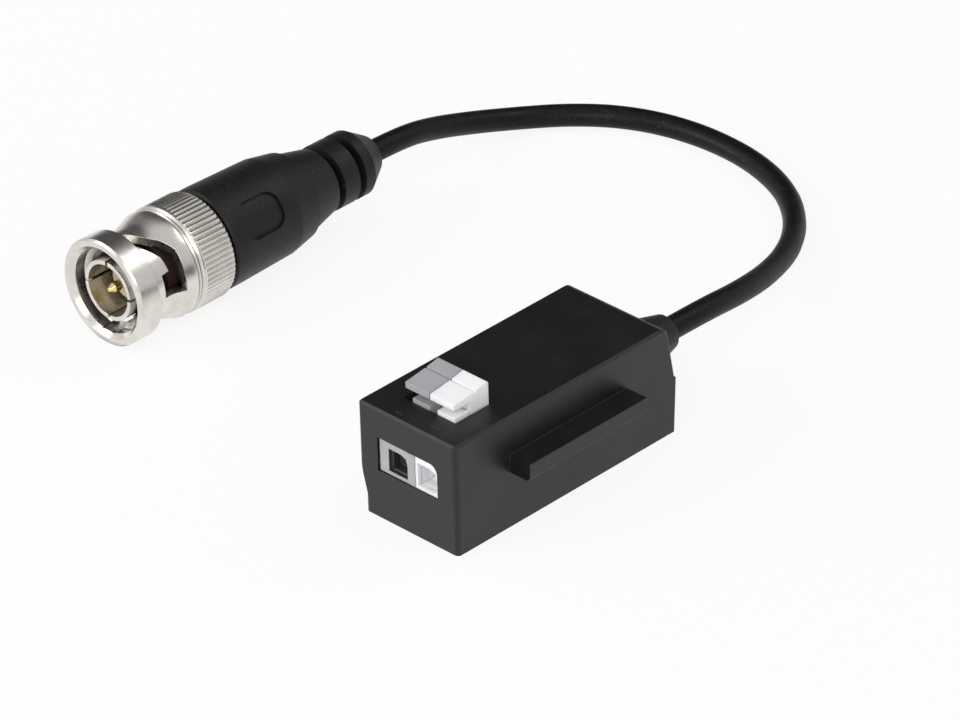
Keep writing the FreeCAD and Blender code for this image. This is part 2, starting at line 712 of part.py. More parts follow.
def make_clamp_spring(colour, pole):
    """A cage clamp: a loop on the bar whose front leg has a window for the bar and the wire."""
    thick, rise = value("spring_thickness"), value("spring_rise")
    low = value(BAR_TOP) + value("touch_clearance") + thick / 2
    high = low + rise
    front = value(f"{CHAMBER_FRONT} + spring_end_room")
    rear = value(f"{BAR_REAR} - spring_end_room")
    bottom = value(CELL_LOW) - thick
    loop = (rise - value("spring_loop_flat")) / 2
    x_place = value(f"{POLE_MIDDLE} - spring_width / 2")
    path = [Vector(x_place, y, z) for y, z in (
        (front + value("spring_tail"), low), (rear, low), (rear, high), (front, high), (front, bottom))]
    folds = [loop, loop, value("spring_bend")]
    width = value("spring_width")
    centre = rounded_wire(path, folds)
    shape = band_solid(centre, thick, width)
    rail = value("spring_rail")
    window = Part.makeBox(width - 2 * rail, 4 * thick, low + 2 * thick - bottom - value("spring_foot"),
                          Vector(x_place + rail, front - 2 * thick, bottom + value("spring_foot")))
    part = feature_from(f"clamp_spring_{colour}", shape.cut(window))
    pole_placement(part, pole)
    return part


def band_solid(centre, thickness, width):
    """The centre line offset to both sides by half the thickness and extruded along X."""
    sides = [centre.makeOffset2D(sign * thickness / 2, 0, True, True) for sign in (1, -1)]
    halves = [side.extrude(Vector(width, 0, 0)) for side in sides]
    return halves[0].fuse(halves[1]).removeSplitter()


# Circuit board with the balun transformer, surge diodes and chip parts
def make_circuit_board():
    body = new_body("circuit_board")
    plan = outline(body, "board_plan", "XY_Plane", box_corners(
        f"-{SIDE_INSIDE} + board_clearance", f"{SIDE_INSIDE} - board_clearance",
        f"{FRONT_INSIDE} + board_clearance", BOARD_REAR), "ledge_height")
    pad(body, plan, "board_thickness")
    for pole in (0, 1):
        middle = f"(({pole} - 1) * pole_pitch + {POLE_MIDDLE})"
        hole = outline(body, f"pin_hole_{pole}", "XY_Plane", box_corners(
            f"{middle} - pin_width / 2 - touch_clearance", f"{middle} + pin_width / 2 + touch_clearance",
            f"{BAR_REAR} - bar_thickness - touch_clearance", f"{BAR_REAR} + touch_clearance"),
            f"{BOARD_TOP} + {BITE}")
        pocket(body, hole, f"board_thickness + 2 * {BITE}")
    return body


def make_toroid_core():
    body = new_body("toroid_core")
    low = f"({BOARD_TOP} + turn_wire + 2 * touch_clearance)"
    outer = disc(body, "core_outer_ring", "XY_Plane", "0", "-core_place", "core_outer", low)
    pad(body, outer, "core_height")
    inner = disc(body, "core_inner_ring", "XY_Plane", "0", "-core_place", "core_inner",
                 f"{low} + core_height + {BITE}")
    pocket(body, inner, f"core_height + 2 * {BITE}")
    return body


def mitred_wire(points, radius):
    """A wire of straight runs with mitred corners, starting square to its first run."""
    ahead = (points[1] - points[0]).normalize()
    side = ahead.cross(ALONG_X)
    other = ahead.cross(side)
    rim = []
    for corner in range(WIRE_SIDES):
        angle = 2 * math.pi * corner / WIRE_SIDES
        rim.append(points[0] + (side * math.cos(angle) + other * math.sin(angle)) * radius)
    shell = Part.BRepOffsetAPI.MakePipeShell(Part.makePolygon(points))
    shell.setTransitionMode(1)
    shell.add(Part.makePolygon(rim + rim[:1]))
    shell.build()
    shell.makeSolid()
    return shell.shape()


def make_toroid_winding():
    """One enamelled wire wound round the ring: a square helix that climbs outside and dives inside."""
    wire, play = value("turn_wire"), value("touch_clearance")
    low = value(BOARD_TOP) + play + wire / 2
    high = low + value("core_height") + wire + 2 * play
    inner = value("core_inner") - play - wire / 2
    outer = value("core_outer") + play + wire / 2
    count = int(round(value("turn_count")))
    step = math.radians(value("winding_arc")) / (4 * count)
    points = []
    for index in range(4 * count + 1):
        radius, height = ((outer, low), (outer, high), (inner, high), (inner, low))[index % 4]
        angle = math.radians(value("winding_start")) + index * step
        points.append(Vector(radius * math.cos(angle), radius * math.sin(angle), height))
    part = feature_from("toroid_winding", mitred_wire(points, wire / 2))
    part.setExpression("Placement.Base.y", bound("-core_place"))
    return part


def make_boxes(label, places, width, length, height):
    """Like small parts that stand on the board, as one group of separate solids."""
    boxes = []
    for index, (across, along) in enumerate(places):
        box = doc.addObject("Part::Box", f"{label}_{index}")
        box.setExpression("Length", bound(width))
        box.setExpression("Width", bound(length))
        box.setExpression("Height", bound(height))
        box.setExpression("Placement.Base.x", bound(f"{across} - {width} / 2"))
        box.setExpression("Placement.Base.y", bound(f"{along} - {length} / 2"))
        box.setExpression("Placement.Base.z", bound(BOARD_TOP))
        boxes.append(box)
    group = doc.addObject("Part::Compound", label)
    group.Links = boxes
    group.Label = label
    return group


def make_surge_diodes():
    places = [(f"({sign} * diode_spread / 2)", DIODE_MIDDLE) for sign in (-1, 1)]
    return make_boxes("surge_diodes", places, "diode_width", "diode_length", "diode_height")


def make_chip_parts():
    count = int(round(value("chip_count")))
    places = [(f"(({index} - (chip_count - 1) / 2) * chip_pitch)", CHIP_MIDDLE) for index in range(count)]
    return make_boxes("chip_parts", places, "chip_width", "chip_length", "chip_height")


# Strain relief, held by a groove in the rear wall, and the leads behind it
def make_cable_grommet():
    body = new_body("cable_grommet")
    neck_rear = "(rear_wall - relief_seat)"
    tip = f"({neck_rear} + relief_length)"
    revolve(body, "relief_profile", [
        ("0", "-relief_flange_thickness - relief_clearance"),
        ("relief_flange", "-relief_flange_thickness - relief_clearance"),
        ("relief_flange", "-relief_clearance"),
        ("relief_neck", "-relief_clearance"),
        ("relief_neck", f"{neck_rear} + relief_clearance"),
        ("relief_root", f"{neck_rear} + relief_clearance"),
        ("relief_root", f"{neck_rear} + relief_seat"),
        ("relief_tip", f"{tip} - relief_tip_chamfer"),
        ("relief_tip - relief_tip_chamfer", tip),
        ("0", tip),
    ])
    body.setExpression("Placement.Base.y", bound(REAR_INSIDE))
    body.setExpression("Placement.Base.z", bound("parting_height"))
    return body


def make_lead(label):
    """A lead from the strain relief's inner face down to the board, and along it to its pad."""
    radius = value(f"{label}_wire") / 2
    place, spread = value(f"{label}_place"), value(f"{label}_spread")
    start, top = value(CABLE_END), value("parting_height")
    foot = value(BOARD_TOP) + radius
    board_rear = value(BOARD_REAR)
    points = [
        Vector(place, start, top),
        Vector(place, start - value("lead_straight"), top),
        Vector(place + spread / 2, board_rear - value("lead_foot_gap"), foot),
        Vector(place + spread, board_rear - value(f"{label}_reach"), foot),
    ]
    return feature_from(label, mitred_wire(points, radius))


# Cable: straight runs joined by tangent arcs, from the strain relief to the plug's boot
def cable_route():
    tip = value(f"{REAR_INSIDE} + rear_wall - relief_seat + relief_length")
    exit_point = Vector(0, tip, value("parting_height"))
    boot_end = Vector(value("plug_x"), value("plug_y + boot_rear"), value("nut_radius"))
    boot_lead = boot_end + ALONG_Y * value("boot_lead")
    between = [
        (0.0, 32.5, 7.5),
        (-1.2, 40.8, 6.0),
        (-4.0, 49.1, 3.9),
        (-7.7, 57.0, 2.3),
        (-12.6, 63.7, 1.5),
        (-18.7, 68.5, 1.5),
        (-26.5, 71.3, 1.5),
        (-34.6, 71.9, 1.5),
        (-41.8, 70.8, 1.5),
        (-47.9, 68.2, 1.5),
        (-52.9, 64.2, 1.5),
        (-56.4, 59.0, 1.9),
        (-58.2, 52.6, 3.3),
        (-58.6, 45.6, 5.3),
    ]
    return [exit_point] + [Vector(*place) for place in between] + [boot_lead, boot_end]


def make_video_cable():
    """The cable's tube, whose many-sided section stands square to the first run, along +Y."""
    radius = value("cable_diameter / 2")
    route = cable_route()
    radii = []
    for before, corner, after in zip(route, route[1:], route[2:]):
        back = before - corner
        ahead = after - corner
        half_turn = (math.pi - back.getAngle(ahead)) / 2
        radii.append(BEND_SHARE * min(back.Length, ahead.Length) / math.tan(half_turn))
    path = rounded_wire(route, radii)
    rim = []
    for side in range(CABLE_SIDES):
        angle = 2 * math.pi * (side + 0.5) / CABLE_SIDES
        rim.append(route[0] + Vector(math.cos(angle), 0, math.sin(angle)) * radius)
    section = Part.Face(Part.makePolygon(rim + rim[:1]))
    shape = path.makePipe(section)
    ideal = section.Area * path.Length
    print("cable runs", [round((b - a).Length, 1) for a, b in zip(route, route[1:])])
    print("cable radii", [round(bend, 1) for bend in radii])
    print("cable length", round(path.Length, 2), "volume ratio", round(shape.Volume / ideal, 5))
    return feature_from("video_cable", shape)


# Plug pieces, each turned round the plug's axis: local +Y runs from the mouth to the boot
def place_on_plug(piece):
    piece.setExpression("Placement.Base.x", bound("plug_x"))
    piece.setExpression("Placement.Base.y", bound("plug_y"))
    piece.setExpression("Placement.Base.z", bound("nut_radius"))
    return piece


def make_nut_blank():
    """The turned nut with its bores, entry grooves, ring grooves and fluted grip."""
    body = new_body("bayonet_nut_blank")
    collar = "(nut_radius - collar_step)"
    first = "(shoulder_rear + ring_groove_setback)"
    second = "(grip_front - 2 * ring_groove - collar_step)"
    seat_front = f"({SNAP_RING_FRONT} - touch_clearance)"
    seat_rear = f"({SNAP_RING_FRONT} + snap_ring_thickness + touch_clearance)"
    seat_radius = "(cavity_radius + snap_ring_depth)"
    revolve(body, "nut_profile", [
        ("nut_bore", "nut_front + mouth_depth"),
        ("mouth_radius", "nut_front + mouth_depth - mouth_shoulder"),
        ("mouth_radius", "nut_front + mouth_lead_in"),
        ("mouth_radius + mouth_lead_in", "nut_front"),
        ("nut_radius - nut_rim_chamfer", "nut_front"),
        ("nut_radius", "nut_front + nut_rim_chamfer"),
        ("nut_radius", "flange_rear"),
        ("neck_radius", "flange_rear + neck_corner"),
        ("neck_radius", "neck_rear"),
        (collar, "shoulder_rear"),
        (collar, first),
        (f"{collar} - ring_groove", f"{first} + ring_groove"),
        (collar, f"{first} + 2 * ring_groove"),
        (collar, second),
        (f"{collar} - ring_groove", f"{second} + ring_groove"),
        ("nut_radius", "grip_front"),
        ("nut_radius", "nut_rear - nut_rear_chamfer"),
        ("nut_radius - nut_rear_chamfer", "nut_rear"),
        ("cavity_radius", "nut_rear"),
        ("cavity_radius", seat_rear),
        (seat_radius, seat_rear),
        (seat_radius, seat_front),
        ("cavity_radius", seat_front),
        ("cavity_radius", "cavity_front"),
        ("nut_bore", "cavity_front"),
    ])
    grooves = outline(body, "entry_grooves", "XZ_Plane", box_corners(
        "-entry_width / 2", "entry_width / 2", "-cavity_radius", "cavity_radius"),
        f"-nut_front + {BITE}")
    pocket(body, grooves, f"flange_rear + entry_width / 2 - nut_front + {BITE}")
    flute = outline(body, "grip_flute", "XZ_Plane", [
        ("0", "nut_radius - flute_depth"),
        ("flute_depth", "nut_radius + flute_rise"),
        ("-flute_depth", "nut_radius + flute_rise"),
    ], "-grip_front - flute_setback")
    cut = pocket(body, flute, "nut_rear - grip_front")
    turned_copies(body, cut, (flute, ["N_Axis"]), "flute_count")
    return body


def turned_copies(body, feature, axis, count):
    """Copies of a feature spread evenly round an axis, the first one counted."""
    pattern = body.newObject("PartDesign::PolarPattern", f"{feature.Name}_ring")
    pattern.Originals = [feature]
    pattern.Axis = axis
    pattern.Angle = 360.0
    pattern.setExpression("Occurrences", bound(count))
    body.Tip = pattern
    doc.recompute()


def radial_frame(turn, inner, outer, front, rear):
    """A rectangle that stands out from the plug's axis at the given turn, in radians."""
    out = Vector(math.cos(turn), 0, math.sin(turn))
    corners = [out * inner + ALONG_Y * front, out * outer + ALONG_Y * front,
               out * outer + ALONG_Y * rear, out * inner + ALONG_Y * rear]
    return Part.makePolygon(corners + corners[:1])


def make_bayonet_slots():
    """Two cutters lofted round the nut: each slot climbs from an entry groove to its stop."""
    inner = value(f"nut_bore - {BITE}")
    outer = value(f"nut_radius + {BITE}")
    first, last = value("slot_start"), value("slot_end")
    start, stop = value("flange_rear + neck_corner"), value("cavity_front")
    width = value("entry_width")
    # Each row: how far along the turn, and where the slot's front and rear edges are there
    sections = [
        (0.0, start, start + width * 0.6),
        (0.16, start, start + width),
        (0.34, start + width * 0.55, start + width * 1.65),
        (0.52, stop - width * 0.95, stop),
        (0.7, stop - width * 0.85, stop),
        (0.715, stop - width * 1.4, stop),
        (1.0, stop - width * 1.4, stop),
    ]
    cutters = []
    for side in (0.0, 180.0):
        profiles = []
        for share, front, rear in sections:
            turn = math.radians(first + share * (last - first) + side)
            profiles.append(radial_frame(turn, inner, outer, front, rear))
        cutters.append(Part.makeLoft(profiles, True, True))
    return feature_from("bayonet_slots", Part.makeCompound(cutters))


def make_bayonet_nut():
    nut = doc.addObject("Part::Cut", "bayonet_nut")
    nut.Base = make_nut_blank()
    nut.Tool = make_bayonet_slots()
    nut.Label = "bayonet_nut"
    return place_on_plug(nut)


def make_plug_body():
    """Outer contact with spring fingers, flange, barrel and crimp stem, turned as one."""
    body = new_body("plug_body")
    revolve(body, "plug_body_profile", [
        ("contact_bore", "0"),
        ("contact_radius", "0"),
        ("contact_radius", BODY_FLANGE_FRONT),
        ("cavity_radius - running_clearance", BODY_FLANGE_FRONT),
        ("cavity_radius - running_clearance", BODY_FLANGE_REAR),
        ("barrel_radius", BODY_FLANGE_REAR),
        ("barrel_radius", "barrel_rear"),
        ("stem_radius", "barrel_rear"),
        ("stem_radius", "stem_rear"),
        ("stem_bore", "stem_rear"),
        ("stem_bore", "insulator_rear"),
        ("contact_bore", "insulator_rear"),
    ])
    slit = outline(body, "finger_slit", "XZ_Plane", box_corners(
        "-contact_slot_width / 2", "contact_slot_width / 2", "0", f"contact_radius + {BITE}"), BITE)
    cut = pocket(body, slit, f"contact_slot_length + {BITE}")
    turned_copies(body, cut, (slit, ["N_Axis"]), "contact_slots")
    return place_on_plug(body)


def make_plug_insulator():
    body = new_body("plug_insulator")
    nose = "insulator_front - insulator_nose_length"
    revolve(body, "insulator_profile", [
        ("pin_radius + touch_clearance", nose),
        ("insulator_nose", nose),
        ("insulator_nose", "insulator_front"),
        ("contact_bore - touch_clearance", "insulator_front"),
        ("contact_bore - touch_clearance", "insulator_rear - touch_clearance"),
        ("pin_radius + touch_clearance", "insulator_rear - touch_clearance"),
    ])
    return place_on_plug(body)


def make_centre_pin():
    body = new_body("centre_pin")
    revolve(body, "pin_profile", [
        ("0", "pin_front"),
        ("pin_tip_radius", "pin_front"),
        ("pin_radius", "pin_front + pin_radius"),
        ("pin_radius", "insulator_rear + pin_step_gap"),
        ("pin_step_radius", "insulator_rear + pin_step_gap"),
        ("pin_step_radius", "pin_rear"),
        ("0", "pin_rear"),
    ])
    return place_on_plug(body)


def make_ring(label, inner, outer, front, rear):
    body = new_body(label)
    revolve(body, f"{label}_profile", [(inner, front), (outer, front), (outer, rear), (inner, rear)])
    return place_on_plug(body)


def make_sealing_gasket():
    return make_ring("sealing_gasket", "contact_radius + touch_clearance",
                     "nut_bore - 2 * touch_clearance",
                     f"{BODY_FLANGE_FRONT} - gasket_thickness", BODY_FLANGE_FRONT)


def make_retaining_ring():
    """An open snap ring in the nut's inner groove."""
    body = new_body("retaining_ring")
    revolve(body, "retaining_profile", [
        ("barrel_radius + 2 * touch_clearance", SNAP_RING_FRONT),
        ("cavity_radius + snap_ring_depth - touch_clearance", SNAP_RING_FRONT),
        ("cavity_radius + snap_ring_depth - touch_clearance",
         f"{SNAP_RING_FRONT} + snap_ring_thickness"),
        ("barrel_radius + 2 * touch_clearance", f"{SNAP_RING_FRONT} + snap_ring_thickness"),
    ])
    gap = outline(body, "retaining_gap", "XZ_Plane", box_corners(
        "-snap_ring_thickness", "snap_ring_thickness", "0", "nut_radius"),
        f"-{SNAP_RING_FRONT} + {BITE}")
    pocket(body, gap, f"snap_ring_thickness + 2 * {BITE}")
    return place_on_plug(body)


def make_wave_washer():
    """A flat strip ring bent into waves between the body's flange and the snap ring."""
    inner = value("barrel_radius + 3 * touch_clearance")
    outer = value("cavity_radius - 2 * touch_clearance")
    wave, thick = value("washer_wave"), value("washer_thickness")
    count = int(round(value("washer_count")))
    steps = count * int(round(value("washer_steps")))
    middle = value(f"{BODY_FLANGE_REAR} + touch_clearance") + wave
    profiles = []
    for index in range(steps):
        turn = 2 * math.pi * index / steps
        front = middle - wave * math.cos(count * turn)
        profiles.append(radial_frame(turn, inner, outer, front, front + thick))
    return place_on_plug(feature_from("wave_washer", Part.makeLoft(profiles, True, True, True)))


def make_crimp_sleeve():
    return make_ring("crimp_sleeve", "stem_radius + touch_clearance",
                     "stem_radius + touch_clearance + sleeve_wall", "barrel_rear + sleeve_gap",
                     "stem_rear")


def make_plug_boot():
    """The moulded boot: a long grip, a stepped taper and two flex ribs before the cable."""
    body = new_body("plug_boot")
    groove_1 = "boot_taper_end"
    rib_1 = f"({groove_1} + boot_groove_width)"
    groove_2 = f"({rib_1} + boot_rib_width)"
    rib_2 = f"({groove_2} + boot_groove_width)"
    sleeve_radius = "(stem_radius + sleeve_wall + 2 * touch_clearance)"
    revolve(body, "boot_profile", [
        ("barrel_radius + touch_clearance", BOOT_FRONT),
        ("boot_front_radius - edge_round", BOOT_FRONT),
        ("boot_front_radius", f"{BOOT_FRONT} + edge_round"),
        ("boot_front_radius", f"{BOOT_FRONT} + boot_front_land"),
        ("boot_waist_radius", "boot_waist"),
        ("boot_step_radius", "boot_step"),
        ("boot_step_radius - boot_step_depth", "boot_step + boot_step_width"),
        ("boot_tail_radius", groove_1),
        ("boot_core_radius", f"{groove_1} + boot_groove_slope"),
        ("boot_core_radius", f"{rib_1} - boot_groove_slope"),
        ("boot_tail_radius", rib_1),
        ("boot_tail_radius", groove_2),
        ("boot_core_radius", f"{groove_2} + boot_groove_slope"),
        ("boot_core_radius", f"{rib_2} - boot_groove_slope"),
        ("boot_tail_radius", rib_2),
        ("boot_tail_radius", f"{rib_2} + boot_tail_land"),
        ("boot_tip_radius", "boot_rear"),
        ("0", "boot_rear"),
        ("0", "stem_rear + sleeve_gap"),
        (sleeve_radius, "stem_rear + sleeve_gap"),
        (sleeve_radius, "barrel_rear + touch_clearance"),
        ("barrel_radius + touch_clearance", "barrel_rear + touch_clearance"),
    ])
    cut_grip_recesses(body)
    return place_on_plug(body)


def cut_grip_recesses(body):
    """A shallow recess with rounded corners in each side of the grip, its floor round the axis."""
    before = body.Shape.Volume
    floor = outline(body, "recess_section", "XY_Plane", box_corners(
        "recess_floor_radius", f"boot_front_radius + {BITE}",
        "recess_front", "recess_front + recess_length"))
    floor.AttachmentOffset = Placement(Vector(), Rotation(ALONG_Y, -value("recess_lift")))
    floor.setExpression("AttachmentOffset.Rotation.Angle", bound("-recess_lift"))
    groove = body.newObject("PartDesign::Groove", "grip_recess")
    groove.Profile = floor
    groove.ReferenceAxis = (floor, ["V_Axis"])
    groove.Midplane = True
    groove.setExpression("Angle", bound("recess_angle"))
    doc.recompute()
    if groove.Shape.Volume > before - 1e-6:
        raise RuntimeError(f"{groove.Name} cuts nothing")
    turned_copies(body, groove, (plane_of(body, "Y_Axis"), [""]), "recess_count")
    dress(body, "Fillet", "recess_round", lambda edge, middle: edge.Curve.TypeId == "Part::GeomLine"
          and abs(edge.Curve.Direction.dot(ALONG_Y)) < 1e-6)


def make_parts():
    parts = [make_upper_shell(), make_lower_shell(), make_circuit_board()]
    for pole, colour in enumerate(("grey", "white")):
        parts.append(make_terminal_body(colour, pole))
        parts.append(make_push_lever(colour, pole))
        parts.append(make_clamp_spring(colour, pole))
        parts.append(make_contact_bar(colour, pole))
    parts += [make_toroid_core(), make_toroid_winding(), make_surge_diodes(), make_chip_parts()]
    parts += [
        make_cable_grommet(),
        make_lead("inner_lead"),
        make_lead("shield_tail"),
        make_video_cable(),
    ]
    parts += [
        make_bayonet_nut(), make_plug_body(), make_plug_insulator(), make_centre_pin(),
        make_sealing_gasket(), make_wave_washer(), make_retaining_ring(), make_crimp_sleeve(),
        make_plug_boot(),
    ]
    return parts


def export(parts):
    doc.recompute()
    for item in doc.Objects:
        if "Invalid" in item.State or "Error" in item.State:
            raise RuntimeError(f"{item.Label} failed: {item.State}")
    os.makedirs("parts", exist_ok=True)
    for part in parts:
        if part.Shape.isNull() or not part.Shape.isValid():
            raise RuntimeError(f"{part.Label} has no valid shape")
        part.Shape.exportStep(f"parts/{part.Label}.step")
        print(part.Label, len(part.Shape.Solids), round(part.Shape.Volume, 2))


export(make_parts())
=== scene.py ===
"""Dresses a video balun with a pigtail: nut, lead, inner parts, marks, finishes, studio and camera."""

import json
import logging
import math
from dataclasses import dataclass
from enum import Enum
from typing import Any

import bmesh
import bpy
from mathutils import Matrix, Vector

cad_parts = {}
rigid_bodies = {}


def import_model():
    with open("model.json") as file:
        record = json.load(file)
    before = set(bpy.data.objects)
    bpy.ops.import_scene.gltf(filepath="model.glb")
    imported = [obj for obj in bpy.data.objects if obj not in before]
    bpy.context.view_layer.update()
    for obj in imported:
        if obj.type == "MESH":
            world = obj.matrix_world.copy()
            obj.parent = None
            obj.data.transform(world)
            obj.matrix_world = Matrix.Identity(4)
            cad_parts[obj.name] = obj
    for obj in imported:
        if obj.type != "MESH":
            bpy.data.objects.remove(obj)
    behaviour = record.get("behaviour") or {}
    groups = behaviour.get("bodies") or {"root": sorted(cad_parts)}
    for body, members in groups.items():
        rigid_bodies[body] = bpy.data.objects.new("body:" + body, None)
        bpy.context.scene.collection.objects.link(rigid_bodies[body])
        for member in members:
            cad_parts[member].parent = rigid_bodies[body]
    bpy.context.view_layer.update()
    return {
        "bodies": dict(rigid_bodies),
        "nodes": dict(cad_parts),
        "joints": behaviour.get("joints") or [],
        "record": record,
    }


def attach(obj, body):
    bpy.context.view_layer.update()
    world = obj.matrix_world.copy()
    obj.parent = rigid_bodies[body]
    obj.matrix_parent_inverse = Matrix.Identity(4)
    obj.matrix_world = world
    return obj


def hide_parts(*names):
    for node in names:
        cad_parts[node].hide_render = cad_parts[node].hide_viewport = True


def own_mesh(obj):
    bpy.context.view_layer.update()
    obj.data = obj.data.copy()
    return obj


LOG = logging.getLogger("video_balun")
MM = 0.001

Colour = tuple[float, float, float]
Point = tuple[float, float, float]
Pair = tuple[float, float]
Span = tuple[float, float]
Socket = bpy.types.NodeSocket

WHOLE: Span = (0.0, 1.0)
# The middle of the plug's mouth. The plug's axis runs from it along +Y to the lead.
PLUG_MOUTH: Point = (-57.75 * MM, -12.04 * MM, 7.15 * MM)


class Body(Enum):
    """The bodies that the scene's own pieces ride on."""

    HOUSING = "housing"
    COUPLING_NUT = "coupling_nut"


class Axis(Enum):
    """Where a pattern's own axes come from."""

    PART = "part"
    PLUG = "plug"


class Graph:
    """Adds and joins the nodes of one tree."""

    def __init__(self, tree: bpy.types.NodeTree) -> None:
        """Keep the tree that the nodes go into.

        Args:
            tree: a shader or geometry node tree.
        """
        self.tree = tree

    def node(self, kind: str, **settings: Any) -> bpy.types.Node:
        """Add one node.

        Args:
            kind: the node's type name.
            settings: the node's properties, by name.

        Returns:
            The new node.
        """
        made = self.tree.nodes.new(kind)
        for name, chosen in settings.items():
            setattr(made, name, chosen)
        return made

    def join(self, source: Socket, target: Socket) -> None:
        """Link an output to an input."""
        self.tree.links.new(source, target)

    def feed(self, source: Any, target: Socket) -> None:
        """Give an input what it needs.

        Args:
            source: a socket, which is linked, or a plain value, which is set.
            target: the input.
        """
        if isinstance(source, Socket):
            self.join(source, target)
        else:
            target.default_value = source

    def math(self, operation: str, first: Any, second: Any = 0.0) -> Socket:
        """Work out one sum of numbers.

        Args:
            operation: the Math node's operation.
            first: a socket or a number.
            second: a socket or a number.

        Returns:
            The socket of the result.
        """
        made = self.node("ShaderNodeMath", operation=operation)
        self.feed(first, made.inputs[0])
        self.feed(second, made.inputs[1])
        return made.outputs[0]

    def vectors(self, operation: str, first: Any, second: Any) -> Socket:
        """Work out one sum of vectors.

        Args:
            operation: the Vector Math node's operation.
            first: a socket or a vector.
            second: a socket or a vector.

        Returns:
            The socket of the result, which is a number for a dot product.
        """
        made = self.node("ShaderNodeVectorMath", operation=operation)
        self.feed(first, made.inputs[0])
        self.feed(second, made.inputs[1])
        return made.outputs["Value" if operation == "DOT_PRODUCT" else "Vector"]

    def apart(self, vector: Socket) -> Any:
        """Take a vector apart.

        Args:
            vector: the socket of the vector.

        Returns:
            The outputs X, Y and Z.
        """
        made = self.node("ShaderNodeSeparateXYZ")
        self.join(vector, made.inputs[0])
        return made.outputs

    def together(self, *parts: Any) -> Socket:
        """Make a vector of up to three numbers.

        Args:
            parts: sockets or numbers, for X, Y and Z in order.

        Returns:
            The socket of the vector.
        """
        made = self.node("ShaderNodeCombineXYZ")
        for source, target in zip(parts, made.inputs):
            self.feed(source, target)
        return made.outputs["Vector"]

    def spread(self, source: Socket, span: Span, floor: float = 0.0, ceiling: float = 1.0) -> Socket:
        """Map a range to another and clamp it.

        Args:
            source: the socket that is mapped.
            span: the values that become the floor and the ceiling.
            floor: what the first of them becomes.
            ceiling: what the second of them becomes.

        Returns:
            The socket of the result.
        """
        made = self.node("ShaderNodeMapRange", clamp=True)
        self.join(source, made.inputs["Value"])
        for name, value in zip(("From Min", "From Max", "To Min", "To Max"), (*span, floor, ceiling)):
            made.inputs[name].default_value = value
        return made.outputs["Result"]

    def blend(self, factor: Socket, first: Any, second: Any) -> Socket:
        """Mix two colours.

        Args:
            factor: how much of the second colour shows.
            first: a socket or a colour with alpha.
            second: a socket or a colour with alpha.

        Returns:
            The socket of the mixed colour.
        """
        made = self.node("ShaderNodeMix", data_type="RGBA")
        self.join(factor, made.inputs[0])
        self.feed(first, made.inputs[6])
        self.feed(second, made.inputs[7])
        return made.outputs[2]

    def noise(self, vector: Socket, scale: Any, detail: float = 2.0, dimensions: str = "3D",
              seed: float = 0.0) -> Socket:
        """Add a noise.

        Args:
            vector: the socket of the coordinates.
            scale: its waves per metre, as a socket or a number.
            detail: how many finer layers lie on it.
            dimensions: the node's dimensions.
            seed: picks one of many noises where the dimensions are 4D.

        Returns:
            The socket of the noise.
        """
        made = self.node("ShaderNodeTexNoise", noise_dimensions=dimensions)
        made.inputs["Detail"].default_value = detail
        if dimensions == "4D":
            made.inputs["W"].default_value = seed
        self.join(vector, made.inputs["Vector"])
        self.feed(scale, made.inputs["Scale"])
        return made.outputs["Fac"]

    def bump(self, height: Socket, depth: float, normal: Socket | None = None) -> Socket:
        """Turn a height into a normal.

        Args:
            height: the socket of the height.
            depth: how high a height of 1 is.
            normal: the normal that it starts from, if not the plain one.

        Returns:
            The socket of the new normal.
        """
        made = self.node("ShaderNodeBump")
        made.inputs["Strength"].default_value = 1.0
        made.inputs["Distance"].default_value = depth
        self.join(height, made.inputs["Height"])
        if normal is not None:
            self.join(normal, made.inputs["Normal"])
        return made.outputs["Normal"]


class NodeGroup:
    """A node tree with named inputs and outputs, built once on first use."""

    title = "group"
    kind = "ShaderNodeTree"
    inputs: tuple[tuple[str, str, Any], ...] = ()
    outputs: tuple[tuple[str, str], ...] = ()

    @classmethod
    def tree(cls) -> bpy.types.NodeTree:
        """Find the group's tree, or build it.

        Returns:
            The tree.
        """
        found = bpy.data.node_groups.get(cls.title)
        if found:
            return found
        made = bpy.data.node_groups.new(cls.title, cls.kind)
        for name, kind, plain in cls.inputs:
            socket = made.interface.new_socket(name=name, in_out="INPUT", socket_type=kind)
            if plain is not None:
                socket.default_value = plain
        for name, kind in cls.outputs:
            made.interface.new_socket(name=name, in_out="OUTPUT", socket_type=kind)
        graph = Graph(made)
        start = graph.node("NodeGroupInput")
        end = graph.node("NodeGroupOutput")
        cls.wire(graph, start.outputs, end.inputs)
        return made

    @classmethod
    def wire(cls, graph: Graph, given: Any, wanted: Any) -> None:
        """Join the group's nodes.

        Args:
            graph: the group's tree.
            given: the sockets of the group's inputs.
            wanted: the sockets of the group's outputs.
        """
        raise NotImplementedError


VECTOR = ("Vector", "NodeSocketVector", None)


class Effect(NodeGroup):
    """A shader node group that several finishes share."""

    @classmethod
    def place(cls, graph: Graph, **values: Any) -> Any:
        """Put the group into a material.

        Args:
            graph: the material's tree.
            values: what each input gets, with spaces in its name as underscores.

        Returns:
            The outputs of the placed group.
        """
        made = graph.node("ShaderNodeGroup", node_tree=cls.tree())
        for name, value in values.items():
            graph.feed(value, made.inputs[name.replace("_", " ")])
        return made.outputs


